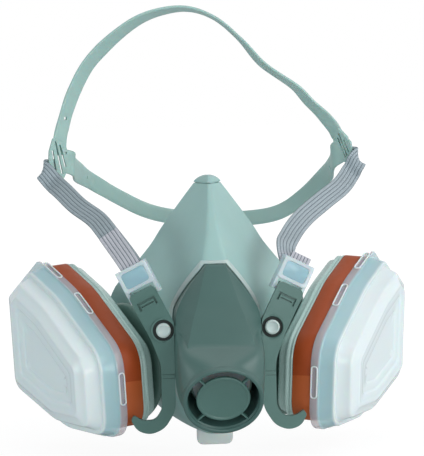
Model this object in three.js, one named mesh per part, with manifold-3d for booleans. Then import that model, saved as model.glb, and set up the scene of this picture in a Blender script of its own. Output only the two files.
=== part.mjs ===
// Half-mask respirator with two bayonet cartridges.
// Millimetres. X runs to the right in the photograph, Y towards the wearer, Z up.
// The origin is the centre of the opening that lies against the face.
import * as THREE from "three";
import { mergeVertices } from "three/addons/utils/BufferGeometryUtils.js";
import Module from "manifold-3d";

const wasm = await Module();
wasm.setup();

// Clearances and cuts
const seatGap = 0.3;
const runningGap = 0.4;
const cutOverrun = 3;
const circleSides = 32;
const smallCircleSides = 18;
const studSides = 24;
const sectorSteps = 6;
const mergeDistance = 0.0001;
// A rounded corner takes at most this share of the shorter edge, and an inset keeps this
// share of the corner's radius.
const cornerRoomShare = 0.49;
const leastRadiusShare = 0.25;
// A cap whose normal leans more than this towards Z is flattened from the side.
const steepShare = 0.9;

// Facepiece: one elastomer shell with a nose, two cheeks and a chin
const faceHeight = 152;
const faceWidth = 120;
const faceDepth = 80;
const faceWall = 2.2;
const sealLipWidth = 9;
const sealLipThickness = 1.8;
const cheekCutShare = 0.42;
const faceCornerSteps = 4;
const ridgeFlatShare = 0.9;
const kneeShrinkShare = 0.8;
const kneeBackShrinkShare = 0.7;
const faceTipShare = 3;
const faceLeastHalf = 0.55;
const faceLeastKnee = 0.37;
const faceCoverGap = 0.6;
const mouthDepth = 7.2;
const mouthChinMargin = 4.5;
const mouthNoseMargin = 2.25;
// Each row is one level: height, half width, ridge front, seal back, flat nose half width,
// cheek corner out and cheek corner back, as shares of the face's height, width and depth.
const faceSectionShares = [
  [-0.533, 0.055, -0.26, -0.17, 0.02, 0.035, -0.24],
  [-0.5, 0.13, -0.34, -0.11, 0.04, 0.09, -0.3],
  [-0.44, 0.225, -0.45, 0.05, 0.06, 0.15, -0.37],
  [-0.395, 0.29, -0.5, 0.13, 0.09, 0.19, -0.4],
  [-0.33, 0.385, -0.54, 0.22, 0.1, 0.225, -0.38],
  [-0.25, 0.455, -0.565, 0.31, 0.1, 0.235, -0.365],
  [-0.165, 0.485, -0.58, 0.355, 0.1, 0.24, -0.37],
  [-0.07, 0.485, -0.59, 0.34, 0.1, 0.24, -0.395],
  [0.03, 0.445, -0.59, 0.26, 0.08, 0.225, -0.41],
  [0.13, 0.34, -0.58, 0.15, 0.05, 0.18, -0.34],
  [0.24, 0.24, -0.475, 0.09, 0.03, 0.13, -0.24],
  [0.32, 0.168, -0.37, 0.045, 0.02, 0.095, -0.19],
  [0.385, 0.108, -0.27, 0.01, 0.014, 0.062, -0.14],
  [0.43, 0.066, -0.195, -0.02, 0.01, 0.04, -0.11],
  [0.46, 0.024, -0.135, -0.06, 0.006, 0.014, -0.1],
];
const chinTabWidth = 21;
const chinTabHeight = 11;
const chinTabThickness = 3;
const chinTabDrop = 5.5;
const chinTabSetback = 18;
const chinTabRadius = 4.2;
const chinTabSteps = 3;

// Cartridge ports on the cheeks
const cartridgeYaw = 30;
const cartridgePitch = 3;
const portX = 49.2;
const portY = -3;
const portZ = -36.4;
const portBossRadius = 31;
const portBossDepth = 17;
const portBossTaper = 8;
const portBossEdge = 2.5;
const portBossShoulder = 5;
const portBossEdgeRound = 1.25;
const portHollowInset = 6.2;
const portBoreOverrun = 6;
const portBossWall = 3.2;
const portBossHollow = 20;
const insertRadius = 17.5;
const insertWall = 3;
const insertDepth = 9;
const insertReach = 7.3;
const lugCount = 3;
const lugHeight = 2.9;
const lugThickness = 2;
const lugHalfAngle = 12;
const lugPhase = 90;
const notchHalfAngle = 14.5;
const spiderBarCount = 2;
const spiderArm = 2;
const spiderThickness = 1.8;
const valvePinRadius = 1.5;
const valvePinHeadRadius = 2.6;
const valvePinHeadThickness = 1;
const inhalationValveRadius = 12.5;
const inhalationValveThickness = 0.8;
const inhalationLift = 1.5;
const gasketThickness = 2.9;
const gasketWidth = 6;

// Cartridge: outline shares of length and height about the bayonet axis, radii of length
const cartridgeLength = 96;
const cartridgeHeight = 104;
const cartridgeCornerShares = [
  [0.415, -0.356, 0.156],
  [0.415, 0.135, 0.23],
  [-0.052, 0.4375, 0.625],
  [-0.583, 0.644, 0.135],
  [-0.583, -0.173, 0.19],
  [-0.06, -0.356, 0.42],
];
const cornerSteps = [5, 5, 3, 5, 4, 3];
const caseInset = 1.6;
const caseDepth = 24.5;
const caseWall = 1.3;
const caseFloor = 1.5;
const caseBackRound = 3.4;
const caseBackEase = 0.85;
const lidThickness = 1.7;
const lidHoleRadius = 4;
const lidHolePitch = 15;
const lidRowAngle = 60;
const lidHoleSteps = 3;
const lidRim = 6;
const carbonClearFloor = 4;
const labelThickness = 0.4;
const labelStart = 11.2;
const labelWidth = 10.9;
const unlockAngle = 90;

// Retainer: a thin dish that snaps over the cartridge rim
const retainerOverlap = 2;
const retainerHeight = 24;
const retainerWall = 1.2;
// Each pair is an inset share and a height share of the dish.
const retainerProfileShares = [
  [0, 0],
  [0, 0.195],
  [0.05, 0.215],
  [0.2, 0.47],
  [0.28, 0.53],
  [0.42, 0.56],
  [0.66, 0.83],
  [0.74, 0.885],
  [0.93, 0.985],
  [1, 1],
];
const retainerInset = 13;
const retainerSlotLength = 19;
const retainerSlotHeight = 2.4;
const retainerSlotLift = 1.2;
const retainerSlotCut = 8;
const oneSlotEdge = 41.8;
const twoSlotEdge = 76;
const retainerTabWidth = 15;
const retainerTabHeight = 4;
const retainerTabThickness = 1.4;
const retainerTabPlaceShare = 0.62;
const retainerSkirtShare = 0.195;
const retainerPanelInset = 24;
const retainerPanelDepth = 0.5;
const prefilterThickness = 4.6;
const prefilterInset = 6.5;

// Front cover: a tapered hood over the ridge with a round exhalation housing
const coverWall = 1.8;
const hoodTop = 23;
const hoodHeight = 82;
const hoodWidth = 48;
const hoodDepth = 50;
// Each row is one level: drop, half width, facet half width, facet front and side front,
// as shares of the hood's height, width and depth; fronts count forward from the hood's back.
const hoodSectionShares = [
  [0, 0.12, 0.112, 0.3, 0.28],
  [0.146, 0.32, 0.19, 0.45, 0.32],
  [0.262, 0.445, 0.25, 0.56, 0.4],
  [0.342, 0.486, 0.3, 0.65, 0.48],
  [0.512, 0.5, 0.41, 0.85, 0.55],
  [0.73, 0.5, 0.42, 0.8, 0.58],
  [0.9, 0.42, 0.3, 0.56, 0.36],
  [1, 0.28, 0.2, 0.36, 0.24],
];
const hoodBackY = -36;
const hoodFlankReach = 20;
const hoodHollowReach = 18;
const hoodLeastHalf = 0.9;
const hoodLeastFacet = 0.6;
const facetShrinkShare = 0.6;
const facetLimitShare = 0.95;
const housingY = -85;
const housingZ = -48;
const housingTilt = 29;
const housingRimRadius = 21.3;
const housingBodyRadius = 22;
const housingFootRadius = 23.4;
const housingLength = 44;
const housingRimWall = 1.3;
const housingRimRound = 1.2;
const housingRimDepth = 2.4;
const housingFlare = 26.4;
const housingBore = 19.4;
const grilleRadius = 14.8;
const grilleRecess = 1.8;
const grilleThickness = 2;
const grilleSpokeWidth = 1.3;
const grilleSpokeCount = 4;
const grilleSpokeTurn = 45;

// Exhalation seat and valve behind the grille
const nozzleRadius = 17.4;
const nozzleWall = 2.2;
const nozzleStart = 20;
const nozzleLength = 60;
const seatRadius = 17.2;
const seatBore = 12.5;
const seatThickness = 3;
const seatLipRadius = 14.6;
const seatLipWidth = 1.2;
const seatLipHeight = 0.9;
const seatHubRadius = 3;
const seatHubSetback = 0.75;
const exhalationValveRadius = 15.8;
const exhalationValveThickness = 0.9;
const exhalationValveDish = 0.3;
const exhalationStemRadius = 1.3;
const exhalationStemLength = 7;
const exhalationBulbRadius = 2.3;
const exhalationLift = 2;

// Yoke arms: a tab for the buckle above, a stud in the middle, a neck-strap hook below
const armThickness = 3.4;
const armInnerX = 24.4;
const armFrontY = -58;
const armSlope = 0.22;
const armSpan = 25;
const armDrop = 84;
const armTopZ = 13.8;
// Outline as shares of the arm's span outwards and of its drop, with a corner radius share.
const armOutlineShares = [
  [0.43, 0, 0.14],
  [0.99, -0.083, 0.14],
  [0.52, -0.36, 0.5],
  [0.3, -0.53, 0.5],
  [0.3, -0.83, 0.2],
  [0.42, -0.905, 0.2],
  [0.9, -0.893, 0.06],
  [1.02, -0.955, 0.12],
  [0.84, -1, 0.16],
  [0.36, -0.972, 0.3],
  [0, -0.83, 0.3],
  [0, -0.25, 0.3],
];
const armCornerSteps = 3;
const studX = 30.2;
const studZ = -11.8;
const studRecessRadius = 6;
const studRecessDepth = 1.5;
const studHeadRadius = 4;
const studHeadThickness = 2.2;
const studHeadFlat = 3.2;
const studShankRadius = 2.2;
const studLength = 16;
const studBossRadius = 3.5;
const studBossLength = 52;
const tabLean = 27.7;
const tabX = 42.2;
const tabZ = 10.2;
const tabCatchWidth = 9;
const tabCatchThickness = 2;
const tabHookGap = 6.2;
const tabLipThickness = 1.8;
const tabLipDrop = 6;
const toeReach = 4.6;
const toeRoot = 1;
const toeHeight = 8;
const toeThickness = 3;
const toeDrop = 37;

// Buckles
const buckleWidth = 18.6;
const buckleSide = 1.8;
const buckleHeight = 19.6;
const buckleFront = 2;
const buckleBack = 3.5;
const buckleBarRadius = 1.3;
const bucklePlateThickness = 1.3;
const bucklePlateStart = 7.2;
const bucklePadWidth = 12;
const bucklePadRise = 0.8;
const bucklePadShare = 0.8;
const buckleStrapBarLift = 9;
const buckleStrapBarSetback = 2.9;

// Webbing and cradle
const strapWidth = 12;
const strapThickness = 1.3;
const strapLayerGap = 0.5;
const strapArcSteps = 6;
const strapTailSteps = 6;
const strapSteps = 44;
const strapExitShare = 0.55;
const rightExitShare = 0.4;
const rightTailReach = 2.4;
const strapTailShare = 0.5;
const bandThickness = 1.5;
const rearBandHeight = 9.5;
const crownBandWidth = 12.5;
const rearBandSteps = 34;
const crownBandSteps = 40;
const harnessHalfWidth = 86;
const harnessBack = 150;
const harnessTop = 165;
const cornerPlateSize = 24;
const cornerSlotWidth = 1.1;
const pegRadius = 1;
const pegHeight = 4;
const bandHoleRadius = 1.2;
const crownGap = 0.8;

const halfTurn = 180;
const degree = Math.PI / halfTurn;
const xAxis = new THREE.Vector3(1, 0, 0);
const yAxis = new THREE.Vector3(0, 1, 0);
const zAxis = new THREE.Vector3(0, 0, 1);

// Geometry helpers

function vec(x, y, z) {
  return new THREE.Vector3(x, y, z);
}

function bareGeometry(geometry) {
  const bare = geometry.index ? geometry.toNonIndexed() : geometry.clone();
  for (const name of Object.keys(bare.attributes)) {
    if (name !== "position") bare.deleteAttribute(name);
  }
  return mergeVertices(bare, mergeDistance);
}

function signedVolume(geometry) {
  const position = geometry.attributes.position;
  const index = geometry.index;
  let volume = 0;
  for (let i = 0; i < index.count; i += 3) {
    const [a, b, c] = [0, 1, 2].map((k) => vec().fromBufferAttribute(position, index.getX(i + k)));
    volume += a.dot(b.cross(c));
  }
  return volume;
}

function facedOutwards(geometry) {
  if (signedVolume(geometry) < 0) {
    const index = geometry.index;
    for (let i = 0; i < index.count; i += 3) {
      const second = index.getX(i + 1);
      index.setX(i + 1, index.getX(i + 2));
      index.setX(i + 2, second);
    }
  }
  return geometry;
}

function toSolid(geometry) {
  const bare = facedOutwards(bareGeometry(geometry));
  const mesh = new wasm.Mesh({
    numProp: 3,
    vertProperties: new Float32Array(bare.attributes.position.array),
    triVerts: new Uint32Array(bare.index.array),
  });
  return new wasm.Manifold(mesh);
}

function toGeometry(solid) {
  const mesh = solid.getMesh();
  const geometry = new THREE.BufferGeometry();
  geometry.setAttribute("position", new THREE.BufferAttribute(new Float32Array(mesh.vertProperties), 3));
  geometry.setIndex(new THREE.BufferAttribute(new Uint32Array(mesh.triVerts), 1));
  geometry.computeVertexNormals();
  return geometry;
}

function joined(...geometries) {
  return geometries.map(toSolid).reduce((whole, piece) => whole.add(piece));
}

function capTriangles(loop, first) {
  const normal = vec(0, 0, 0);
  loop.forEach((point, i) => {
    const next = loop[(i + 1) % loop.length];
    normal.add(vec().crossVectors(point, next));
  });
  normal.normalize();
  const side = Math.abs(normal.z) < steepShare ? zAxis : xAxis;
  const across = vec().crossVectors(side, normal).normalize();
  const up = vec().crossVectors(normal, across);
  const flat = loop.map((point) => new THREE.Vector2(point.dot(across), point.dot(up)));
  return THREE.ShapeUtils.triangulateShape(flat, []).map((tri) => tri.map((i) => i + first));
}

// A body through a row of loops with equal point counts, closed by a cap at each end
// or, as a ring, by joining the last loop to the first.
function loftBody(loops, ring = false) {
  const count = loops[0].length;
  const triangles = [];
  const rows = ring ? loops.length : loops.length - 1;
  for (let row = 0; row < rows; row += 1) {
    const here = row * count;
    const there = ((row + 1) % loops.length) * count;
    for (let i = 0; i < count; i += 1) {
      const next = (i + 1) % count;
      triangles.push([here + i, here + next, there + next], [here + i, there + next, there + i]);
    }
  }
  if (!ring) {
    capTriangles(loops[0], 0).forEach(([a, b, c]) => triangles.push([a, c, b]));
    triangles.push(...capTriangles(loops[loops.length - 1], (loops.length - 1) * count));
  }
  const geometry = new THREE.BufferGeometry();
  const numbers = loops.flat().flatMap((point) => [point.x, point.y, point.z]);
  geometry.setAttribute("position", new THREE.BufferAttribute(new Float32Array(numbers), 3));
  geometry.setIndex(triangles.flat());
  return facedOutwards(geometry);
}

// A polyline whose inner corners are cut back and replaced by short curves
function softened(points, cutShare, steps) {
  const result = [points[0]];
  for (let i = 1; i < points.length - 1; i += 1) {
    const from = points[i].clone().lerp(points[i - 1], cutShare);
    const to = points[i].clone().lerp(points[i + 1], cutShare);
    const curve = new THREE.QuadraticBezierCurve3(from, points[i], to);
    result.push(...curve.getPoints(steps));
  }
  result.push(points[points.length - 1]);
  return result;
}

// A convex or concave outline with round corners, as flat points
function roundedOutline(corners, stepsPerCorner) {
  const result = [];
  corners.forEach(([x, y, radius], i) => {
    const corner = new THREE.Vector2(x, y);
    const before = corners[(i + corners.length - 1) % corners.length];
    const after = corners[(i + 1) % corners.length];
    const toBefore = new THREE.Vector2(before[0], before[1]).sub(corner);
    const toAfter = new THREE.Vector2(after[0], after[1]).sub(corner);
    const room = Math.min(toBefore.length(), toAfter.length()) * cornerRoomShare;
    const half = Math.acos(toBefore.clone().normalize().dot(toAfter.clone().normalize())) / 2;
    const reach = Math.min(radius / Math.tan(half), room);
    const start = corner.clone().add(toBefore.setLength(reach));
    const end = corner.clone().add(toAfter.setLength(reach));
    const steps = Array.isArray(stepsPerCorner) ? stepsPerCorner[i] : stepsPerCorner;
    result.push(...new THREE.QuadraticBezierCurve(start, corner, end).getPoints(steps));
  });
  return result;
}

function insetCorners(corners, inset) {
  const lines = corners.map(([x, y], i) => {
    const [nextX, nextY] = corners[(i + 1) % corners.length];
    const along = new THREE.Vector2(nextX - x, nextY - y).normalize();
    const inward = new THREE.Vector2(-along.y, along.x);
    return { point: new THREE.Vector2(x, y).addScaledVector(inward, inset), along };
  });
  return corners.map(([, , radius], i) => {
    const first = lines[(i + lines.length - 1) % lines.length];
    const second = lines[i];
    const gap = second.point.clone().sub(first.point);
    const travel = gap.cross(second.along) / first.along.cross(second.along);
    const meet = first.point.clone().addScaledVector(first.along, travel);
    return [meet.x, meet.y, Math.max(radius - inset, radius * leastRadiusShare)];
  });
}

function turnedAlong(profile, sides) {
  const points = profile.map(([radius, height]) => new THREE.Vector2(radius, height));
  const geometry = new THREE.LatheGeometry(points, sides);
  return bareGeometry(geometry.rotateX(Math.PI / 2));
}

// A solid of revolution about local Z from radius and height pairs
function revolved(profile, sides = circleSides) {
  return facedOutwards(turnedAlong(profile, sides));
}

function disc(radius, low, high, sides = circleSides) {
  return revolved([[0, low], [radius, low], [radius, high], [0, high]], sides);
}

function ring(inner, outer, low, high, sides = circleSides) {
  return revolved([[inner, low], [outer, low], [outer, high], [inner, high], [inner, low]], sides);
}

function slab(width, height, depth, x, y, z) {
  return bareGeometry(new THREE.BoxGeometry(width, height, depth).translate(x, y, z));
}

// A sector of a ring about local Z
function ringSector(inner, outer, low, high, middleAngle, halfAngle) {
  const shape = new THREE.Shape();
  const from = (middleAngle - halfAngle) * degree;
  const to = (middleAngle + halfAngle) * degree;
  shape.absarc(0, 0, outer, from, to, false);
  shape.absarc(0, 0, inner, to, from, true);
  shape.closePath();
  const geometry = new THREE.ExtrudeGeometry(shape, {
    depth: high - low,
    bevelEnabled: false,
    curveSegments: sectorSteps,
  });
  return bareGeometry(geometry.translate(0, 0, low));
}

function frameOf(place, across, up, out) {
  return new THREE.Matrix4().makeBasis(across, up, out).setPosition(place);
}

function placedMesh(name, geometry, look, group, matrix) {
  const mesh = new THREE.Mesh(geometry, look);
  mesh.name = name;
  if (matrix) matrix.decompose(mesh.position, mesh.quaternion, mesh.scale);
  group.add(mesh);
  return mesh;
}

function turnedFrame(place) {
  return frameOf(place, xAxis.clone(), zAxis.clone(), yAxis.clone().negate());
}

function sideName(side) {
  return side < 0 ? "left" : "right";
}

// Finishes

function look(color, roughness, metalness = 0, opacity = 1) {
  return new THREE.MeshStandardMaterial({ color, roughness, metalness, opacity, transparent: opacity < 1 });
}

const elastomer = look("#9fbfba", 0.6);
const darkMoulding = look("#4f736e", 0.45);
const portPlastic = look("#5f7f78", 0.5);
const gasketRubber = look("#3c4a4a", 0.8);
const valveRubber = look("#d9d2b8", 0.6);
const casePlastic = look("#a9c8c2", 0.5);
const labelFilm = look("#b3502a", 0.4);
const carbonGrain = look("#2a2a2c", 0.95);
const filterFelt = look("#ecebe6", 0.95);
const clearPlastic = look("#d8e8ec", 0.25, 0, 0.7);
const bucklePlastic = look("#cfe0e6", 0.3, 0, 0.85);
const webbing = look("#9aa0a4", 0.85);
const cradlePlastic = look("#9dc4bc", 0.5);

// Facepiece

function faceSection(row, shrink, back) {
  const [height, half, front, seal, flat, kneeOut, kneeBack] = row;
  const z = height * faceHeight;
  const halfWidth = Math.max(half * faceWidth - shrink, faceLeastHalf);
  const frontY = front * faceDepth + shrink;
  const sealY = seal * faceDepth + back;
  const flatHalf = flat * faceWidth * ridgeFlatShare;
  const kneeX = Math.max(kneeOut * faceWidth - shrink * kneeShrinkShare, faceLeastKnee);
  const kneeY = kneeBack * faceDepth + shrink * kneeBackShrinkShare;
  const corners = [
    vec(-halfWidth, sealY, z),
    vec(-kneeX, kneeY, z),
    vec(-flatHalf, frontY, z),
    vec(flatHalf, frontY, z),
    vec(kneeX, kneeY, z),
    vec(halfWidth, sealY, z),
  ];
  return softened(corners, cheekCutShare, faceCornerSteps);
}

function faceLoft(shrink, back) {
  const rows = faceSectionShares.filter((row) => row[1] * faceWidth > shrink * faceTipShare);
  return loftBody(rows.map((row) => faceSection(row, shrink, back)));
}

function mouthLoft() {
  const rows = faceSectionShares.filter((row) => row[1] * faceWidth > sealLipWidth + faceWall);
  const last = rows.length - 1;
  const margins = rows.map(() => 0);
  margins[0] = mouthChinMargin;
  margins[last] = -mouthNoseMargin;
  const loops = rows.map((row, i) => {
    const half = row[1] * faceWidth - sealLipWidth;
    const back = row[3] * faceDepth;
    const z = row[0] * faceHeight + margins[i];
    return [
      vec(-half, back + faceDepth, z),
      vec(-half, back - mouthDepth, z),
      vec(half, back - mouthDepth, z),
      vec(half, back + faceDepth, z),
    ];
  });
  return loftBody(loops);
}

function portFrame(side) {
  const yaw = cartridgeYaw * degree;
  const pitch = cartridgePitch * degree;
  const level = Math.cos(pitch);
  const out = vec(side * level * Math.cos(yaw), -level * Math.sin(yaw), -Math.sin(pitch));
  const forward = vec(-side * Math.sin(yaw), -Math.cos(yaw), 0);
  const across = forward.clone().multiplyScalar(-side);
  const up = vec().crossVectors(out, across);
  return frameOf(vec(side * portX, portY, portZ), across, up, out);
}

function housingFrame() {
  const tilt = housingTilt * degree;
  const inward = vec(0, Math.cos(tilt), Math.sin(tilt));
  const up = vec(0, -Math.sin(tilt), Math.cos(tilt));
  const across = vec().crossVectors(up, inward);
  return frameOf(vec(0, housingY, housingZ), across, up, inward);
}

function portBoss() {
  return revolved([
    [0, -portBossDepth],
    [portBossRadius - portBossTaper, -portBossDepth],
    [portBossRadius - seatGap, -portBossShoulder],
    [portBossRadius, -portBossEdge],
    [portBossRadius - seatGap, -seatGap],
    [portBossRadius - portBossEdgeRound, 0],
    [0, 0],
  ]);
}

function chinTab() {
  const low = faceSectionShares[0][0] * faceHeight - chinTabDrop;
  const half = chinTabWidth / 2;
  const high = low + chinTabHeight;
  const corners = [
    [-half, high, 0],
    [-half, low, chinTabRadius],
    [half, low, chinTabRadius],
    [half, high, 0],
  ];
  const outline = roundedOutline(corners, chinTabSteps);
  const loops = [0, chinTabThickness].map((step) =>
    outline.map((point) => vec(point.x, -chinTabSetback + step, point.y)),
  );
  return loftBody(loops);
}

function studBoss(side) {
  const front = -armThickness - studBossRadius * armSlope - seatGap;
  const boss = disc(studBossRadius, -studBossLength, front, smallCircleSides);
  return boss.applyMatrix4(turnedFrame(studPlace(side)));
}

function buildFacepiece(group) {
  let shell = joined(faceLoft(0, 0), chinTab());
  for (const side of [-1, 1]) {
    shell = shell.add(toSolid(portBoss().applyMatrix4(portFrame(side))));
    shell = shell.add(toSolid(studBoss(side)));
  }
  const nozzleEnd = nozzleStart + nozzleLength;
  const nozzle = disc(nozzleRadius, nozzleStart, nozzleEnd);
  shell = shell.add(toSolid(nozzle.applyMatrix4(housingFrame())));
  shell = shell.subtract(toSolid(faceLoft(faceWall, -sealLipThickness)));
  shell = shell.subtract(toSolid(mouthLoft()));
  const nozzleBore = disc(nozzleRadius - nozzleWall, nozzleStart - cutOverrun, nozzleEnd + cutOverrun);
  shell = shell.subtract(toSolid(nozzleBore.applyMatrix4(housingFrame())));
  for (const side of [-1, 1]) {
    const hollowInner = insertRadius + faceWall;
    const hollowOuter = portBossRadius - portHollowInset;
    const hollow = ring(hollowInner, hollowOuter, -portBossHollow, -portBossWall);
    shell = shell.subtract(toSolid(hollow.applyMatrix4(portFrame(side))));
    const bore = disc(insertRadius + seatGap, -portBossDepth - portBoreOverrun, cutOverrun);
    shell = shell.subtract(toSolid(bore.applyMatrix4(portFrame(side))));
    const hole = disc(studShankRadius + seatGap, -studLength - seatGap, 0, smallCircleSides);
    shell = shell.subtract(toSolid(hole.applyMatrix4(turnedFrame(studPlace(side)))));
  }
  placedMesh("facepiece", toGeometry(shell), elastomer, group);
}

// Ports, gaskets and valves

function lugAngles() {
  return Array.from({ length: lugCount }, (_, i) => (i * 2 * halfTurn) / lugCount + lugPhase);
}

function buildInsert(side, group) {
  const low = -insertDepth;
  const high = insertReach;
  let body = toSolid(ring(insertRadius - insertWall, insertRadius, low, high));
  const lugRoot = insertRadius - insertWall / 2;
  const lugTip = insertRadius + lugHeight;
  for (const angle of lugAngles()) {
    const lug = ringSector(lugRoot, lugTip, high - lugThickness, high, angle, lugHalfAngle);
    body = body.add(toSolid(lug));
  }
  const inner = insertRadius - insertWall;
  for (let i = 0; i < spiderBarCount; i += 1) {
    const bar = slab(2 * inner + insertWall, spiderArm, spiderThickness, 0, 0, low + spiderThickness / 2);
    body = body.add(toSolid(bar.rotateZ((i * Math.PI) / spiderBarCount)));
  }
  const pinEnd = low - inhalationValveThickness - inhalationLift - seatGap;
  const pin = revolved([
    [0, pinEnd - valvePinHeadThickness],
    [valvePinHeadRadius, pinEnd - valvePinHeadThickness],
    [valvePinHeadRadius, pinEnd],
    [valvePinRadius, pinEnd],
    [valvePinRadius, low + spiderThickness],
    [0, low + spiderThickness],
  ], smallCircleSides);
  body = body.add(toSolid(pin));
  placedMesh(`bayonet_port_${sideName(side)}`, toGeometry(body), portPlastic, group, portFrame(side));
  const valveHigh = low - seatGap / 2;
  const valveLow = valveHigh - inhalationValveThickness;
  const valve = ring(valvePinRadius + seatGap, inhalationValveRadius, valveLow, valveHigh);
  placedMesh(`inhalation_valve_${sideName(side)}`, valve, valveRubber, group, portFrame(side));
  const gasketInner = insertRadius + seatGap;
  const gasket = ring(gasketInner, gasketInner + gasketWidth, seatGap, seatGap + gasketThickness);
  placedMesh(`port_gasket_${sideName(side)}`, gasket, gasketRubber, group, portFrame(side));
}

function buildExhalation(group) {
  const seatFront = nozzleStart - seatGap - seatThickness;
  const seatBack = seatFront + seatThickness;
  const seatMiddle = (seatFront + seatBack) / 2;
  let seat = toSolid(ring(seatBore, seatRadius, seatFront, seatBack));
  const lip = ring(seatLipRadius - seatLipWidth, seatLipRadius, seatFront - seatLipHeight, seatMiddle);
  seat = seat.add(toSolid(lip));
  for (let i = 0; i < spiderBarCount; i += 1) {
    const bar = slab(2 * seatBore + seatLipWidth, spiderArm, spiderThickness, 0, 0, seatMiddle);
    const angle = grilleSpokeTurn * degree + (i * Math.PI) / spiderBarCount;
    seat = seat.add(toSolid(bar.rotateZ(angle)));
  }
  const hub = disc(seatHubRadius, seatFront + seatHubSetback, seatBack, smallCircleSides);
  seat = seat.add(toSolid(hub));
  const stemRadius = exhalationStemRadius + seatGap;
  const stemHole = disc(stemRadius, seatFront - cutOverrun, seatBack + cutOverrun, smallCircleSides);
  seat = seat.subtract(toSolid(stemHole));
  placedMesh("exhalation_seat", toGeometry(seat), portPlastic, group, housingFrame());
  const back = seatFront - seatLipHeight - seatGap;
  const front = back - exhalationValveThickness;
  const stemEnd = back + exhalationStemLength + exhalationLift;
  const valve = revolved([
    [0, front],
    [exhalationValveRadius, front + exhalationValveDish],
    [exhalationValveRadius, back],
    [exhalationStemRadius, back],
    [exhalationStemRadius, stemEnd],
    [exhalationBulbRadius, stemEnd + exhalationStemRadius],
    [0, stemEnd + 2 * exhalationStemRadius],
  ], circleSides);
  placedMesh("exhalation_valve", valve, valveRubber, group, housingFrame());
}

// Front cover

function hoodSection(row, shrink) {
  const [drop, half, facet, facetFront, sideFront] = row;
  const z = hoodTop - drop * hoodHeight;
  const backY = hoodBackY + (shrink > 0 ? hoodHollowReach : hoodFlankReach);
  const outer = Math.max(half * hoodWidth - shrink, hoodLeastHalf);
  const facetHalf = Math.max(facet * hoodWidth - shrink * facetShrinkShare, hoodLeastFacet);
  const inner = Math.min(facetHalf, outer * facetLimitShare);
  const frontY = hoodBackY - facetFront * hoodDepth + shrink;
  const sideY = hoodBackY - sideFront * hoodDepth + shrink;
  return [
    vec(-outer, backY, z),
    vec(-outer, sideY, z),
    vec(-inner, frontY, z),
    vec(inner, frontY, z),
    vec(outer, sideY, z),
    vec(outer, backY, z),
  ];
}

function hoodLoft(shrink) {
  const loops = hoodSectionShares.map((row) => hoodSection(row, shrink));
  const squeeze = (hoodHeight - 2 * shrink) / hoodHeight;
  const middle = hoodTop - hoodHeight / 2;
  loops.flat().forEach((point) => {
    point.z = middle + (point.z - middle) * squeeze;
  });
  return loftBody(loops);
}

function buildCover(group) {
  const frame = housingFrame();
  const barrel = revolved([
    [0, 0],
    [housingRimRadius - seatGap, 0],
    [housingRimRadius, seatGap],
    [housingBodyRadius, housingRimDepth],
    [housingFootRadius, housingFlare],
    [housingFootRadius, housingLength],
    [0, housingLength],
  ]);
  const bore = revolved([
    [0, -cutOverrun],
    [housingRimRadius - housingRimWall, -cutOverrun],
    [housingRimRadius - housingRimWall, housingRimRound],
    [housingBore, housingRimDepth],
    [housingBore, housingLength + cutOverrun],
    [0, housingLength + cutOverrun],
  ]);
  let cover = joined(hoodLoft(0), barrel.applyMatrix4(frame));
  cover = cover.subtract(joined(hoodLoft(coverWall), bore.applyMatrix4(frame)));
  const low = grilleRecess;
  const high = grilleRecess + grilleThickness;
  let grille = toSolid(disc(grilleRadius, low, high));
  const barLength = 2 * housingBore + housingRimWall;
  for (let i = 0; i < grilleSpokeCount / 2; i += 1) {
    const bar = slab(barLength, grilleSpokeWidth, grilleThickness, 0, 0, (low + high) / 2);
    const angle = grilleSpokeTurn + (i * 2 * halfTurn) / grilleSpokeCount;
    grille = grille.add(toSolid(bar.rotateZ(angle * degree)));
  }
  cover = cover.add(grille.transform([...frame.elements]));
  cover = cover.subtract(toSolid(faceLoft(-faceCoverGap, 0)));
  for (const side of [-1, 1]) {
    const slotX = side * (hoodWidth / 2);
    const slotDepth = toeThickness + 2 * runningGap;
    const slotHeight = toeHeight + 2 * runningGap;
    const slot = slab(toeReach * 2, slotDepth, slotHeight, slotX, toeY(), toeZ());
    cover = cover.subtract(toSolid(slot));
  }
  placedMesh("front_cover", toGeometry(cover), darkMoulding, group);
}

// Yoke arms

function armY(x) {
  return armFrontY + armSlope * (Math.abs(x) - armInnerX);
}

function studPlace(side) {
  return vec(side * studX, armY(studX), studZ);
}

function toeY() {
  return armFrontY + armThickness / 2;
}

function toeZ() {
  return armTopZ - toeDrop - toeHeight;
}

function armOutline(side) {
  const corners = armOutlineShares.map(([out, drop, radius]) => [
    side * (armInnerX + out * armSpan),
    armTopZ + drop * armDrop,
    radius * armSpan,
  ]);
  return roundedOutline(corners, armCornerSteps);
}

function tabFrame(side) {
  const lean = tabLean * degree * side;
  const up = vec(Math.sin(lean), 0, Math.cos(lean));
  const slope = Math.atan(armSlope) * side;
  const out = vec(Math.sin(slope), -Math.cos(slope), 0);
  const upFlat = up.addScaledVector(out, -up.dot(out)).normalize();
  const across = vec().crossVectors(upFlat, out);
  return frameOf(vec(side * tabX, armY(tabX), tabZ), across, upFlat, out);
}

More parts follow.
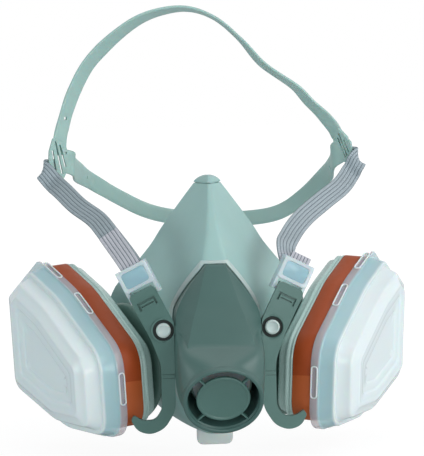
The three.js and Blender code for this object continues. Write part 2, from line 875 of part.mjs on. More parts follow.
function buildArm(side, group) {
  const outline = armOutline(side);
  const loops = [0, armThickness].map((step) =>
    outline.map((point) => vec(point.x, armY(point.x) + step, point.y)),
  );
  let arm = toSolid(loftBody(loops));
  const studFrame = turnedFrame(studPlace(side));
  const recess = disc(studRecessRadius, -studRecessDepth, cutOverrun, studSides);
  const hole = disc(studShankRadius + seatGap, -armThickness - cutOverrun, 0, smallCircleSides);
  arm = arm.subtract(toSolid(recess.applyMatrix4(studFrame)));
  arm = arm.subtract(toSolid(hole.applyMatrix4(studFrame)));
  const reach = armThickness + tabHookGap + tabLipThickness;
  const bridgeDepth = -reach / 2 - seatGap;
  const bridge = slab(tabCatchWidth, tabCatchThickness, reach, 0, -tabCatchThickness / 2, bridgeDepth);
  const lipDepth = -reach + tabLipThickness / 2 - seatGap;
  const lip = slab(tabCatchWidth, tabLipDrop, tabLipThickness, 0, -tabLipDrop / 2, lipDepth);
  arm = arm.add(toSolid(bridge.applyMatrix4(tabFrame(side))));
  arm = arm.add(toSolid(lip.applyMatrix4(tabFrame(side))));
  const toeX = side * (armInnerX - toeReach / 2);
  const toe = slab(toeReach + toeRoot, toeThickness, toeHeight, toeX, toeY(), toeZ());
  arm = arm.add(toSolid(toe));
  placedMesh(`yoke_arm_${sideName(side)}`, toGeometry(arm), darkMoulding, group);
  const stud = revolved([
    [0, -studLength + seatGap],
    [studShankRadius, -studLength + seatGap],
    [studShankRadius, -studRecessDepth + seatGap],
    [studHeadRadius, -studRecessDepth + seatGap],
    [studHeadRadius, studHeadThickness - studRecessDepth],
    [studHeadFlat, studHeadThickness - studRecessDepth + seatGap],
    [0, studHeadThickness - studRecessDepth + seatGap * 2],
  ], studSides);
  placedMesh(`yoke_stud_${sideName(side)}`, stud, elastomer, group, studFrame);
}

// Cartridges

function cartridgeOutline(side, inset, z) {
  const corners = cartridgeCornerShares.map(([x, y, radius]) => [
    x * cartridgeLength,
    y * cartridgeHeight,
    radius * cartridgeLength,
  ]);
  const flat = roundedOutline(insetCorners(corners, inset), cornerSteps);
  return flat.map((point) => vec(-side * point.x, point.y, z));
}

function insideOutline(x, y, inset) {
  const corners = insetCorners(
    cartridgeCornerShares.map(([u, v]) => [u * cartridgeLength, v * cartridgeHeight, 0]),
    inset,
  );
  return corners.every(([cornerX, cornerY], i) => {
    const [nextX, nextY] = corners[(i + 1) % corners.length];
    return (nextX - cornerX) * (y - cornerY) - (nextY - cornerY) * (x - cornerX) > 0;
  });
}

const caseBack = seatGap + gasketThickness + seatGap;
const caseMouth = caseBack + caseDepth;

function buildCase(side, group, matrix) {
  const floor = caseBack + caseFloor;
  const loops = [
    cartridgeOutline(side, caseInset + caseWall, floor),
    cartridgeOutline(side, caseInset + caseWall, caseMouth),
    cartridgeOutline(side, caseInset, caseMouth),
    cartridgeOutline(side, caseInset, caseBack + caseBackRound),
    cartridgeOutline(side, caseInset + caseBackEase, caseBack + caseBackEase),
    cartridgeOutline(side, caseInset + caseBackRound, caseBack),
  ];
  let body = toSolid(loftBody(loops));
  const cutLow = caseBack - cutOverrun;
  const cutHigh = floor + cutOverrun;
  body = body.subtract(toSolid(disc(insertRadius + runningGap, cutLow, cutHigh)));
  const notchInner = insertRadius - insertWall;
  const notchOuter = insertRadius + lugHeight + runningGap;
  for (const lugAngle of lugAngles()) {
    const angle = lugAngle + side * unlockAngle;
    const notch = ringSector(notchInner, notchOuter, cutLow, cutHigh, angle, notchHalfAngle);
    body = body.subtract(toSolid(notch));
  }
  placedMesh(`cartridge_case_${sideName(side)}`, toGeometry(body), casePlastic, group, matrix);
}

function buildLid(side, group, matrix) {
  const outline = cartridgeOutline(side, caseInset, 0);
  const shape = new THREE.Shape(outline.map((point) => new THREE.Vector2(point.x, point.y)));
  const rows = Math.ceil(cartridgeHeight / lidHolePitch);
  for (let row = -rows; row <= rows; row += 1) {
    for (let column = -rows; column <= rows; column += 1) {
      const x = (column + (Math.abs(row) % 2) / 2) * lidHolePitch;
      const y = row * lidHolePitch * Math.sin(lidRowAngle * degree);
      if (insideOutline(x, y, lidRim + lidHoleRadius)) {
        const hole = new THREE.Path();
        hole.absarc(-side * x, y, lidHoleRadius, 0, 2 * Math.PI, false);
        shape.holes.push(hole);
      }
    }
  }
  const geometry = new THREE.ExtrudeGeometry(shape, {
    depth: lidThickness,
    bevelEnabled: false,
    curveSegments: lidHoleSteps,
  });
  geometry.translate(0, 0, caseMouth + seatGap);
  const lid = facedOutwards(bareGeometry(geometry));
  placedMesh(`cartridge_lid_${sideName(side)}`, lid, casePlastic, group, matrix);
}

function buildCartridge(side, group) {
  const matrix = portFrame(side);
  buildCase(side, group, matrix);
  buildLid(side, group, matrix);
  const bedInset = caseInset + caseWall + seatGap;
  const bedLow = caseBack + caseFloor + carbonClearFloor;
  const bed = loftBody([
    cartridgeOutline(side, bedInset, bedLow),
    cartridgeOutline(side, bedInset, caseMouth - seatGap),
  ]);
  placedMesh(`carbon_bed_${sideName(side)}`, bed, carbonGrain, group, matrix);
  const labelLow = caseBack + labelStart;
  const labelHigh = labelLow + labelWidth;
  const under = caseInset - seatGap;
  const over = under - labelThickness;
  const label = loftBody([
    cartridgeOutline(side, under, labelLow),
    cartridgeOutline(side, over, labelLow),
    cartridgeOutline(side, over, labelHigh),
    cartridgeOutline(side, under, labelHigh),
  ], true);
  placedMesh(`cartridge_label_${sideName(side)}`, label, labelFilm, group, matrix);
}

// Retainers and prefilters

function retainerSlots(side) {
  const z = caseMouth - retainerOverlap + retainerSlotLift + retainerSlotHeight / 2;
  const corners = cartridgeCornerShares.map(([x, y]) =>
    vec(-side * x * cartridgeLength, y * cartridgeHeight, z),
  );
  const cuts = [];
  corners.forEach((corner, i) => {
    const next = corners[(i + 1) % corners.length];
    const along = next.clone().sub(corner);
    const length = along.length();
    const count = (length > twoSlotEdge ? 1 : 0) + (length > oneSlotEdge ? 1 : 0);
    for (let k = 0; k < count; k += 1) {
      const middle = corner.clone().lerp(next, (k + 1) / (count + 1));
      const cut = slab(retainerSlotLength, retainerSlotCut, retainerSlotHeight, 0, 0, 0);
      cut.rotateZ(Math.atan2(along.y, along.x)).translate(middle.x, middle.y, z);
      cuts.push(cut);
    }
  });
  return cuts;
}

function buildRetainer(side, group) {
  const matrix = portFrame(side);
  const low = caseMouth - retainerOverlap;
  const outer = retainerProfileShares.map(([inset, height]) =>
    cartridgeOutline(side, inset * retainerInset, low + height * retainerHeight),
  );
  const inner = retainerProfileShares.map(([inset, height]) =>
    cartridgeOutline(
      side,
      inset * retainerInset + retainerWall,
      low + height * (retainerHeight - retainerWall),
    ),
  );
  let dish = toSolid(loftBody([...inner.reverse(), ...outer]));
  retainerSlots(side).forEach((cut) => {
    dish = dish.subtract(toSolid(cut));
  });
  const top = low + retainerHeight;
  const panel = loftBody([
    cartridgeOutline(side, retainerPanelInset, top - retainerPanelDepth),
    cartridgeOutline(side, retainerPanelInset, top + cutOverrun),
  ]);
  dish = dish.subtract(toSolid(panel));
  const [, , third, fourth] = cartridgeCornerShares;
  const from = new THREE.Vector2(third[0] * cartridgeLength, third[1] * cartridgeHeight);
  const to = new THREE.Vector2(fourth[0] * cartridgeLength, fourth[1] * cartridgeHeight);
  const middle = from.clone().lerp(to, retainerTabPlaceShare);
  const tab = slab(retainerTabWidth, retainerTabHeight * 2, retainerTabThickness, 0, 0, 0);
  const tabTurn = Math.atan2(to.y - from.y, -side * (to.x - from.x));
  const tabHeight = low + retainerHeight * retainerSkirtShare;
  tab.rotateZ(tabTurn).translate(-side * middle.x, middle.y, tabHeight);
  const trimmed = toSolid(tab).subtract(toSolid(loftBody([
    cartridgeOutline(side, retainerWall / 2, low - cutOverrun),
    cartridgeOutline(side, retainerWall / 2, low + retainerHeight),
  ])));
  dish = dish.add(trimmed);
  placedMesh(`filter_retainer_${sideName(side)}`, toGeometry(dish), clearPlastic, group, matrix);
  const padLow = caseMouth + seatGap + lidThickness + seatGap;
  const pad = loftBody([
    cartridgeOutline(side, prefilterInset, padLow),
    cartridgeOutline(side, prefilterInset, padLow + prefilterThickness),
  ]);
  placedMesh(`prefilter_${sideName(side)}`, pad, filterFelt, group, matrix);
}

// Harness

// A flat strip along a path; each width direction is squared to the path.
function ribbon(points, widthDirections, widths, thickness) {
  const loops = points.map((point, i) => {
    const before = points[Math.max(i - 1, 0)];
    const after = points[Math.min(i + 1, points.length - 1)];
    const along = after.clone().sub(before).normalize();
    const lean = -widthDirections[i].dot(along);
    const across = widthDirections[i].clone().addScaledVector(along, lean).normalize();
    const out = vec().crossVectors(along, across);
    const width = widths[i] / 2;
    const half = thickness / 2;
    return [[-1, -1], [1, -1], [1, 1], [-1, 1]].map(([u, v]) =>
      point.clone().addScaledVector(across, u * width).addScaledVector(out, v * half),
    );
  });
  return loftBody(loops);
}

function curvePoints(points, steps) {
  return new THREE.CatmullRomCurve3(points, false, "centripetal").getSpacedPoints(steps);
}

function blendedDirections(directions, count) {
  return Array.from({ length: count }, (_, i) => {
    const place = (i / (count - 1)) * (directions.length - 1);
    const low = Math.min(Math.floor(place), directions.length - 2);
    return directions[low].clone().lerp(directions[low + 1], place - low).normalize();
  });
}

function blendedWidths(values, count) {
  return Array.from({ length: count }, (_, i) => {
    const place = (i / (count - 1)) * (values.length - 1);
    const low = Math.min(Math.floor(place), values.length - 2);
    return THREE.MathUtils.lerp(values[low], values[low + 1], place - low);
  });
}

function buildBuckle(side, group) {
  const matrix = tabFrame(side);
  const barDepth = -armThickness - tabHookGap / 2 - seatGap;
  const barDrop = -tabCatchThickness - runningGap - buckleBarRadius;
  const low = barDrop - buckleBarRadius;
  const middle = low + buckleHeight / 2;
  const inner = buckleWidth / 2 - buckleSide;
  const sides = [-1, 1].map((hand) =>
    slab(
      buckleSide,
      buckleHeight,
      buckleFront + buckleBack,
      hand * (inner + buckleSide / 2),
      middle,
      barDepth + (buckleFront - buckleBack) / 2,
    ),
  );
  const bar = disc(buckleBarRadius, -inner - buckleSide / 2, inner + buckleSide / 2, smallCircleSides);
  bar.rotateY(Math.PI / 2);
  const strapBar = bar.clone().translate(0, barDrop + buckleStrapBarLift, barDepth - buckleStrapBarSetback);
  bar.translate(0, barDrop, barDepth);
  const plateHeight = buckleHeight - bucklePlateStart - buckleSide / 2;
  const plateMiddle = low + bucklePlateStart + plateHeight / 2;
  const plateFront = barDepth + buckleFront;
  const plate = slab(
    2 * inner + buckleSide,
    plateHeight,
    bucklePlateThickness,
    0,
    plateMiddle,
    plateFront - bucklePlateThickness / 2,
  );
  const padHeight = plateHeight * bucklePadShare;
  const pad = slab(bucklePadWidth, padHeight, 2 * bucklePadRise, 0, plateMiddle, plateFront);
  const body = joined(...sides, bar, strapBar, plate, pad);
  placedMesh(`buckle_${sideName(side)}`, toGeometry(body), bucklePlastic, group, matrix);
}

// Strap paths in shares of the harness half width, the harness back and the harness top
const strapPathShares = {
  left: [
    [-0.679, -0.167, 0.243],
    [-0.745, -0.01, 0.28],
    [-0.86, 0.16, 0.317],
    [-0.955, 0.32, 0.36],
  ],
  right: [
    [0.473, -0.253, 0.175],
    [0.534, -0.12, 0.217],
    [0.64, 0, 0.262],
    [0.813, 0.16, 0.31],
    [0.98, 0.32, 0.352],
  ],
};
// Where the strap turns round the edge of its corner plate to the plate's back, as shares
// of the plate's size across, up and out
const strapLandingShares = {
  left: [
    [-0.24, -0.58, 0.21],
    [-0.35, -0.39, 0.083],
    [-0.388, -0.304, 0],
    [-0.33, -0.285, -0.08],
    [-0.19, -0.285, -0.074],
    [-0.005, -0.29, -0.074],
  ],
  right: [
    [0.396, -0.67, 0.21],
    [0.45, -0.46, 0.083],
    [0.45, -0.33, 0],
    [0.39, -0.29, -0.08],
    [0.25, -0.28, -0.074],
    [0.09, -0.275, -0.074],
  ],
};
// The direction of each strap's width, from its buckle to its corner plate
const strapTurnShares = {
  left: [
    [1, 0, 0.55],
    [1, 0, 0.55],
    [1, 0, 0.55],
    [1, 0, 0.55],
    [1, 0, 0.55],
    [0.95, 0.05, 0.6],
    [0.85, 0.15, 0.7],
    [0.5, 0.22, 0.9],
    [0, 0, 1],
  ],
  right: [
    [1, 0, -0.35],
    [1, 0, -0.6],
    [1, 0, -0.75],
    [1, 0, -0.8],
    [1, 0, -0.8],
    [1, -0.1, -0.8],
    [0.9, -0.4, -0.75],
    [0.4, -0.5, -1],
    [0, 0, -1],
  ],
};

function strapStart(side) {
  const barDepth = -armThickness - tabHookGap / 2 - seatGap - buckleStrapBarSetback;
  const barLift = -tabCatchThickness - runningGap - buckleBarRadius + buckleStrapBarLift;
  const frame = tabFrame(side);
  const turn = buckleBarRadius + seatGap + strapThickness / 2;
  const local = (lift, depth) => vec(0, barLift + lift, barDepth + depth).applyMatrix4(frame);
  const arc = [];
  for (let i = 0; i <= strapArcSteps; i += 1) {
    const angle = (i / strapArcSteps) * Math.PI;
    arc.push(local(-Math.sin(angle) * turn, Math.cos(angle) * turn));
  }
  const across = vec(1, 0, 0).transformDirection(frame);
  return { arc, across, local, turn };
}

function buildStrap(side, group) {
  const name = sideName(side);
  const { arc, across, local, turn } = strapStart(side);
  const exitLift = buckleHeight - buckleStrapBarLift;
  const route = sharedPath(strapPathShares[name]);
  const landing = strapLandingShares[name].map((shares) => cornerPoint(side, ...shares));
  const exits = side < 0 ? [local(exitLift * strapExitShare, -turn), local(exitLift, -turn)] : [];
  const start = side < 0 ? exits : [local(exitLift * rightExitShare, -turn)];
  const main = curvePoints([...start, ...route, ...landing], strapSteps);
  const tailTop = local(exitLift, turn);
  const leftTail = route[0].clone().addScaledVector(yAxis, -strapThickness - strapLayerGap - turn);
  const tailEnd = side < 0 ? leftTail : local(exitLift + rightTailReach, turn);
  const tail = curvePoints([tailEnd, tailTop, local(exitLift * strapTailShare, turn)], strapTailSteps);
  const points = [...tail, ...arc, ...main];
  const turns = strapTurnShares[name].map((shares) => vec(...shares).normalize());
  const tailTurn = side < 0 ? turns[0] : across;
  const directions = [
    ...blendedDirections([tailTurn, across, across, across], tail.length),
    ...arc.map(() => across),
    ...blendedDirections([across, across, ...turns], main.length),
  ];
  const widths = points.map(() => strapWidth);
  placedMesh(`strap_${name}`, ribbon(points, directions, widths, strapThickness), webbing, group);
}

// Rear band centre line and crown band centre line, in the same shares
const rearBandShares = [
  [-0.961, 0.498, 0.462],
  [-0.879, 0.52, 0.448],
  [-0.859, 0.573, 0.423],
  [-0.806, 0.693, 0.395],
  [-0.721, 0.853, 0.356],
  [-0.527, 0.93, 0.29],
  [-0.327, 0.974, 0.234],
  [-0.136, 0.995, 0.206],
  [0.149, 0.995, 0.195],
  [0.436, 0.953, 0.195],
  [0.642, 0.89, 0.218],
  [0.817, 0.805, 0.283],
  [0.935, 0.707, 0.356],
  [0.975, 0.62, 0.398],
  [0.981, 0.534, 0.449],
  [1.026, 0.503, 0.47],
  [1.056, 0.483, 0.476],
];
const crownBandShares = [
  [-0.921, 0.533, 0.609],
  [-0.9, 0.54, 0.643],
  [-0.845, 0.56, 0.713],
  [-0.72, 0.585, 0.82],
  [-0.4, 0.62, 0.958],
  [-0.185, 0.63, 0.997],
  [-0.007, 0.633, 1],
  [0.169, 0.631, 0.964],
  [0.342, 0.625, 0.885],
  [0.493, 0.614, 0.793],
  [0.735, 0.6, 0.699],
  [0.821, 0.6, 0.648],
  [0.913, 0.587, 0.599],
];

function sharedPath(shares) {
  return shares.map(([x, y, z]) => vec(x * harnessHalfWidth, y * harnessBack, z * harnessTop));
}

const cornerPlaceShares = { left: [-0.982, 0.493, 0.471], right: [1.041, 0.493, 0.488] };
const cornerPlateTurns = { left: 24, right: 50 };

// Each corner plate shows the inside of the band, so its face looks forwards and inwards.
function cornerFrame(side) {
  const turn = cornerPlateTurns[sideName(side)] * degree;
  const out = vec(-side * Math.sin(turn), -Math.cos(turn), 0);
  const across = vec().crossVectors(zAxis, out).normalize();
  const [place] = sharedPath([cornerPlaceShares[sideName(side)]]);
  return frameOf(place, across, zAxis.clone(), out);
}

function cornerPoint(side, across, up, out) {
  return vec(across, up, out).multiplyScalar(cornerPlateSize).applyMatrix4(cornerFrame(side));
}

// Outline of each plate with a corner radius, slots from end to end, the peg's place and
// the crown band's three last points, all as shares of the plate's size
const cornerShares = {
  left: {
    outline: [
      [-0.1, 0.525, 0.05],
      [0.25, 0.27, 0.05],
      [0.34, -0.17, 0.05],
      [0.142, -0.57, 0.06],
      [-0.246, -0.21, 0.08],
      [-0.22, 0.167, 0.08],
    ],
    slots: [
      [-0.05, 0.42, 0.12, -0.41],
      [0.072, 0.32, 0.212, -0.24],
      [-0.13, 0.188, -0.058, -0.32],
    ],
    peg: [0.225, 0.108],
    crown: [[0.125, 0.055], [0.12, 0.29], [0.15, 0.52]],
  },
  right: {
    outline: [
      [-0.2, 0.46, 0.05],
      [0.246, 0.092, 0.05],
      [0.275, -0.167, 0.05],
      [0.142, -0.44, 0.06],
      [-0.25, -0.375, 0.06],
      [-0.333, 0.125, 0.08],
    ],
    slots: [
      [-0.146, 0.3, 0.133, -0.26],
      [-0.18, 0.19, 0.079, -0.31],
      [0.025, 0.15, 0.183, -0.16],
    ],
    peg: [-0.258, 0.15],
    crown: [[-0.05, 0.0625], [-0.312, 0.27], [-0.42, 0.42]],
  },
};

// The rear band's height from end to end, in shares of its height in the middle
const rearWidthShares = [1.5, 1.5, 1.25, 1, 1, 1, 1, 1, 1, 1.25, 1.5, 1.5];
// The crown band's width from end to end, in shares of its width over the head
const crownWidthShares = [0.72, 0.76, 0.95, 1, 1, 1, 1, 1, 1, 0.95, 0.76, 0.72];
// Places of the small round holes in the bands
const rearHoleShares = [[-0.8, 0.79, 0.394], [0.965, 0.625, 0.415]];
const crownHoleShares = [[-0.92, 0.5, 0.618]];

// Cuts small round holes through a band where its path passes the given places
function punched(band, path, directions, places) {
  for (const place of places) {
    const gaps = path.map((point) => point.distanceTo(place));
    const i = gaps.indexOf(Math.min(...gaps));
    const along = path[i + 1].clone().sub(path[i - 1]).normalize();
    const out = vec().crossVectors(along, directions[i]).normalize();
    const across = vec().crossVectors(out, along);
    const hole = disc(bandHoleRadius, -2 * bandThickness, 2 * bandThickness, smallCircleSides);
    band = band.subtract(toSolid(hole.applyMatrix4(frameOf(path[i], along, across, out))));
  }
  return band;
}

function buildRearBand(group) {
  const path = curvePoints(sharedPath(rearBandShares), rearBandSteps);
  const directions = path.map(() => zAxis.clone());
  const widths = blendedWidths(rearWidthShares.map((share) => share * rearBandHeight), path.length);
  let band = toSolid(ribbon(path, directions, widths, bandThickness));
  band = punched(band, path, directions, sharedPath(rearHoleShares));
  for (const side of [-1, 1]) {
    const { outline, slots, peg } = cornerShares[sideName(side)];
    const flat = roundedOutline(outline.map((row) => row.map((share) => share * cornerPlateSize)), armCornerSteps);
    const loops = [-1, 1].map((level) => flat.map(([x, y]) => vec(x, y, (level * bandThickness) / 2)));
    let plate = toSolid(loftBody(loops));
    for (const [startX, startY, endX, endY] of slots) {
      const [across, up] = [(endX - startX) * cornerPlateSize, (endY - startY) * cornerPlateSize];
      const slot = slab(cornerSlotWidth, Math.hypot(across, up), bandThickness + cutOverrun, 0, 0, 0);
      slot.rotateZ(Math.atan2(across, -up));
      const middle = [(startX + endX) / 2, (startY + endY) / 2].map((share) => share * cornerPlateSize);
      plate = plate.subtract(toSolid(slot.translate(...middle, 0)));
    }
    const rivet = disc(pegRadius, -pegHeight, 0, smallCircleSides);
    rivet.translate(peg[0] * cornerPlateSize, peg[1] * cornerPlateSize, 0);
    band = band.add(plate.add(toSolid(rivet)).transform([...cornerFrame(side).elements]));
  }
  placedMesh("rear_band", toGeometry(band), cradlePlastic, group);
}

function crownEnd(side) {
  const back = (-bandThickness - crownGap) / cornerPlateSize;
  return cornerShares[sideName(side)].crown.map(([x, y]) => cornerPoint(side, x, y, back));
}

// Width directions of the crown band over the head, from left to right
const crownTurnShares = [
  [0.75, 0.66, 0],
  [0.66, 0.75, 0],
  [0.55, 0.78, -0.3],
  [0.3, 0.88, -0.38],
  [0.1, 0.95, -0.28],
  [0, 1, -0.1],
  [-0.1, 1, 0],
  [-0.3, 0.95, 0],
  [-0.4, 0.92, 0],
];

function buildCrownBand(group) {
  const middle = sharedPath(crownBandShares);
  const path = curvePoints([...crownEnd(-1), ...middle, ...crownEnd(1).reverse()], crownBandSteps);
  const leftAcross = xAxis.clone().transformDirection(cornerFrame(-1));
  const rightAcross = xAxis.clone().transformDirection(cornerFrame(1)).negate();
  const turns = crownTurnShares.map((shares) => vec(...shares).normalize());
  const directions = blendedDirections([leftAcross, ...turns, rightAcross, rightAcross], path.length);
  const widths = blendedWidths(crownWidthShares.map((share) => share * crownBandWidth), path.length);
  let band = toSolid(ribbon(path, directions, widths, bandThickness));
  band = punched(band, path, directions, sharedPath(crownHoleShares));
  for (const side of [-1, 1]) {
    const { peg } = cornerShares[sideName(side)];
    const hole = disc(pegRadius + 2 * seatGap, -2 * pegHeight, pegHeight, smallCircleSides);
    hole.translate(peg[0] * cornerPlateSize, peg[1] * cornerPlateSize, 0);
    band = band.subtract(toSolid(hole.applyMatrix4(cornerFrame(side))));
  }
  placedMesh("crown_band", toGeometry(band), cradlePlastic, group);
}

// Assembly

function buildRespirator() {
  const group = new THREE.Group();
  buildFacepiece(group);
  buildCover(group);
  buildExhalation(group);
  for (const side of [-1, 1]) {
    buildInsert(side, group);
    buildArm(side, group);
    buildCartridge(side, group);
    buildRetainer(side, group);
    buildBuckle(side, group);
    buildStrap(side, group);
  }
  buildRearBand(group);
  buildCrownBand(group);
  return group;
}

export default buildRespirator();
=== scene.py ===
# %% [markdown]
# A half-mask respirator, built piece by piece around a fixed frame. The frame holds every
# solid in its real place, in metres. Each cell below builds one visible piece, or one
# finish, and puts it exactly where its solid is.

import math

import bmesh
import bpy
from mathutils import Matrix, Vector


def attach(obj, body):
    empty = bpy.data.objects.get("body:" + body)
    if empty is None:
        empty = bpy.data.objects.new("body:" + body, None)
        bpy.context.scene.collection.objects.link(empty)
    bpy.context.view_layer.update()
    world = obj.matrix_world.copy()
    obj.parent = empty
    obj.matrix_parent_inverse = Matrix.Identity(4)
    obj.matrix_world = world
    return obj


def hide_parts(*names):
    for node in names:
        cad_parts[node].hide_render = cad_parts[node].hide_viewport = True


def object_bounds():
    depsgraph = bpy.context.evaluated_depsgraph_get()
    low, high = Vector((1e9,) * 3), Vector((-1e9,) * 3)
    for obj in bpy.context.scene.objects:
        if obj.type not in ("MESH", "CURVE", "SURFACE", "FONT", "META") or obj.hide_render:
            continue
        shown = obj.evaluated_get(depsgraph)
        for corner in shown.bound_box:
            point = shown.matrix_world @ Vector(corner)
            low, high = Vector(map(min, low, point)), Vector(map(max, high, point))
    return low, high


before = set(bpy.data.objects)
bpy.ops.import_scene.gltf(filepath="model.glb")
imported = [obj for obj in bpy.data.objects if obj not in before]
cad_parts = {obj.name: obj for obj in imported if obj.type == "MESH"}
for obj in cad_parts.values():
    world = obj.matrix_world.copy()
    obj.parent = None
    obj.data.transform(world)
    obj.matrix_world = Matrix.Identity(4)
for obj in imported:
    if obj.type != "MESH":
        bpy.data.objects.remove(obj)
box_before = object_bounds()
MM = 0.001
print("frame box in metres:", [[round(x, 4) for x in corner] for corner in box_before])

# %% [markdown]
# The camera comes first, because everything is judged through it. A product picture like
# this one is taken from far away with a long lens, so the sides stay nearly parallel. The
# eye is a little to the left of the nose ridge and a little above it, and the object leans
# by about one degree, which is a roll of the camera.

# %% Camera
PICTURE_WIDE, PICTURE_HIGH = 424, 456
FOCAL_PIXELS = 2340
EYE_DISTANCE = 1300
EYE_YAW, EYE_PITCH, EYE_ROLL = math.radians(4.5), math.radians(7), math.radians(1.3)
AIM_POINT = Vector((0, -50, 0))
AIM_PIXEL = (216.5, 306.0)

forward = Vector((
    math.sin(EYE_YAW) * math.cos(EYE_PITCH),
    math.cos(EYE_YAW) * math.cos(EYE_PITCH),
    -math.sin(EYE_PITCH),
))
rightward = Vector((math.cos(EYE_YAW), -math.sin(EYE_YAW), 0))
upward = rightward.cross(forward)
eye = AIM_POINT - forward * EYE_DISTANCE

off_x = PICTURE_WIDE / 2 - AIM_PIXEL[0]
off_y = PICTURE_HIGH / 2 - AIM_PIXEL[1]
flat_x = off_x * math.cos(EYE_ROLL) - off_y * math.sin(EYE_ROLL)
flat_y = off_x * math.sin(EYE_ROLL) + off_y * math.cos(EYE_ROLL)
middle_ray = (forward + rightward * (flat_x / FOCAL_PIXELS) - upward * (flat_y / FOCAL_PIXELS)).normalized()
camera_right = rightward * math.cos(EYE_ROLL) - upward * math.sin(EYE_ROLL)
camera_right = (camera_right - middle_ray * camera_right.dot(middle_ray)).normalized()
camera_up = camera_right.cross(middle_ray)

camera_data = bpy.data.cameras.new("studio_camera")
camera_data.lens = 36 * FOCAL_PIXELS / PICTURE_HIGH
camera_data.sensor_width = 36
camera_data.clip_start, camera_data.clip_end = 0.1, 20
camera = bpy.data.objects.new("studio_camera", camera_data)
turn = Matrix((camera_right, camera_up, -middle_ray)).transposed().to_4x4()
camera.matrix_world = Matrix.Translation(eye * MM) @ turn
bpy.context.scene.collection.objects.link(camera)
bpy.context.scene.camera = camera
print("lens in millimetres:", round(camera_data.lens, 1))

# %% [markdown]
# Light in a product studio is large and soft. One broad lamp stands to the front right and
# high, so the right flank of the nose is the brighter one. A wide low one in front lights
# what faces the camera, a cool one fills the left, and a weak one hangs above. The world
# gives the rest. The background is white because the world and the floor show white to the
# camera, and not because of more light on the object.

# %% Light and floor
def add(tree, kind, settings=None, links=None):
    """One node, with its settings by name and its inputs by name or number. A link comes
    from a socket, or from a node's first output."""
    node = tree.nodes.new(kind)
    for name, value in (settings or {}).items():
        if isinstance(name, str) and hasattr(node, name):
            setattr(node, name, value)
        else:
            node.inputs[name].default_value = value
    for name, source in (links or {}).items():
        tree.links.new(source.outputs[0] if hasattr(source, "outputs") else source, node.inputs[name])
    return node


def softbox(name, place, target, size, power, tint=(1, 1, 1)):
    data = bpy.data.lights.new(name, "AREA")
    data.shape = "RECTANGLE"
    data.size, data.size_y = size
    data.energy = power
    data.color = tint
    lamp = bpy.data.objects.new(name, data)
    aim = (Vector(target) - Vector(place)).normalized()
    lamp.matrix_world = Matrix.Translation(place) @ aim.to_track_quat("-Z", "Y").to_matrix().to_4x4()
    bpy.context.scene.collection.objects.link(lamp)


softbox("key_light", (1.15, -0.75, 0.75), (0, 0, 0), (1.0, 1.0), 10)
softbox("front_light", (0.4, -1.35, 0.12), (0, 0, 0), (1.1, 0.4), 5)
softbox("fill_light", (-1.15, -0.5, -0.02), (0, 0, -0.03), (0.7, 0.7), 4.5, (0.86, 1, 1))
softbox("top_light", (0.0, 0.1, 1.2), (0, 0, 0), (0.9, 0.9), 2.2)

world = bpy.data.worlds.new("studio")
bpy.context.scene.world = world
world.use_nodes = True
tree = world.node_tree
tree.nodes.clear()
rays = add(tree, "ShaderNodeLightPath")
seen = rays.outputs["Is Camera Ray"]
for kind in ("Is Glossy Ray", "Is Transmission Ray"):
    seen = add(tree, "ShaderNodeMath", {"operation": "MAXIMUM"}, {0: seen, 1: rays.outputs[kind]}).outputs[0]
room = add(tree, "ShaderNodeBackground", {"Color": (0.9, 0.95, 1, 1), "Strength": 0.36})
white = add(tree, "ShaderNodeBackground", {"Color": (1, 1, 1, 1), "Strength": 1.0})
both = add(tree, "ShaderNodeMixShader", None, {0: seen, 1: room, 2: white})
add(tree, "ShaderNodeOutputWorld", None, {"Surface": both})

FLOOR_HALF, FLOOR_GAP = 4, 0.001
floor_mesh = bpy.data.meshes.new("studio_floor")
level = box_before[0].z - FLOOR_GAP
corners = [(x * FLOOR_HALF, y * FLOOR_HALF, level) for x, y in ((-1, -1), (1, -1), (1, 1), (-1, 1))]
floor_mesh.from_pydata(corners, [], [(0, 1, 2, 3)])
floor = bpy.data.objects.new("studio_floor", floor_mesh)
bpy.context.scene.collection.objects.link(floor)
paper = bpy.data.materials.new("white_backdrop_paper")
paper.use_nodes = True
tree = paper.node_tree
tree.nodes.clear()
rays = add(tree, "ShaderNodeLightPath")
matt = add(tree, "ShaderNodeBsdfDiffuse", {"Color": (0.9, 0.9, 0.9, 1)})
glow = add(tree, "ShaderNodeEmission", {"Color": (1, 1, 1, 1), "Strength": 1.06})
spot = add(tree, "ShaderNodeTexCoord")
far = add(tree, "ShaderNodeVectorMath", {"operation": "LENGTH"}, {0: spot.outputs["Object"]})
# The floor keeps a soft shadow under the object and is plain white from half a metre out
fading = {"From Min": 0.12, "From Max": 0.5, "To Min": 0.88, "To Max": 1.0}
fade = add(tree, "ShaderNodeMapRange", fading, {"Value": far.outputs["Value"]})
share = add(tree, "ShaderNodeMath", {"operation": "MULTIPLY"}, {0: rays.outputs["Is Camera Ray"], 1: fade})
mixed = add(tree, "ShaderNodeMixShader", None, {0: share, 1: matt, 2: glow})
add(tree, "ShaderNodeOutputMaterial", None, {"Surface": mixed})
floor_mesh.materials.append(paper)
bpy.context.scene.view_settings.view_transform = "Standard"

# %% [markdown]
# Finishes. Each one starts from what the real surface is and how it was made. Colours are
# written as they look on a screen and turned to linear values by one function. Pattern
# sizes come from real millimetres.


# %% Finishes
def hexa(code, alpha=1.0):
    """A screen colour such as a3c0bb as linear red, green, blue and alpha."""
    channels = [int(code[i : i + 2], 16) / 255 for i in (0, 2, 4)]
    linear = [c / 12.92 if c <= 0.04045 else ((c + 0.055) / 1.055) ** 2.4 for c in channels]
    return (*linear, alpha)


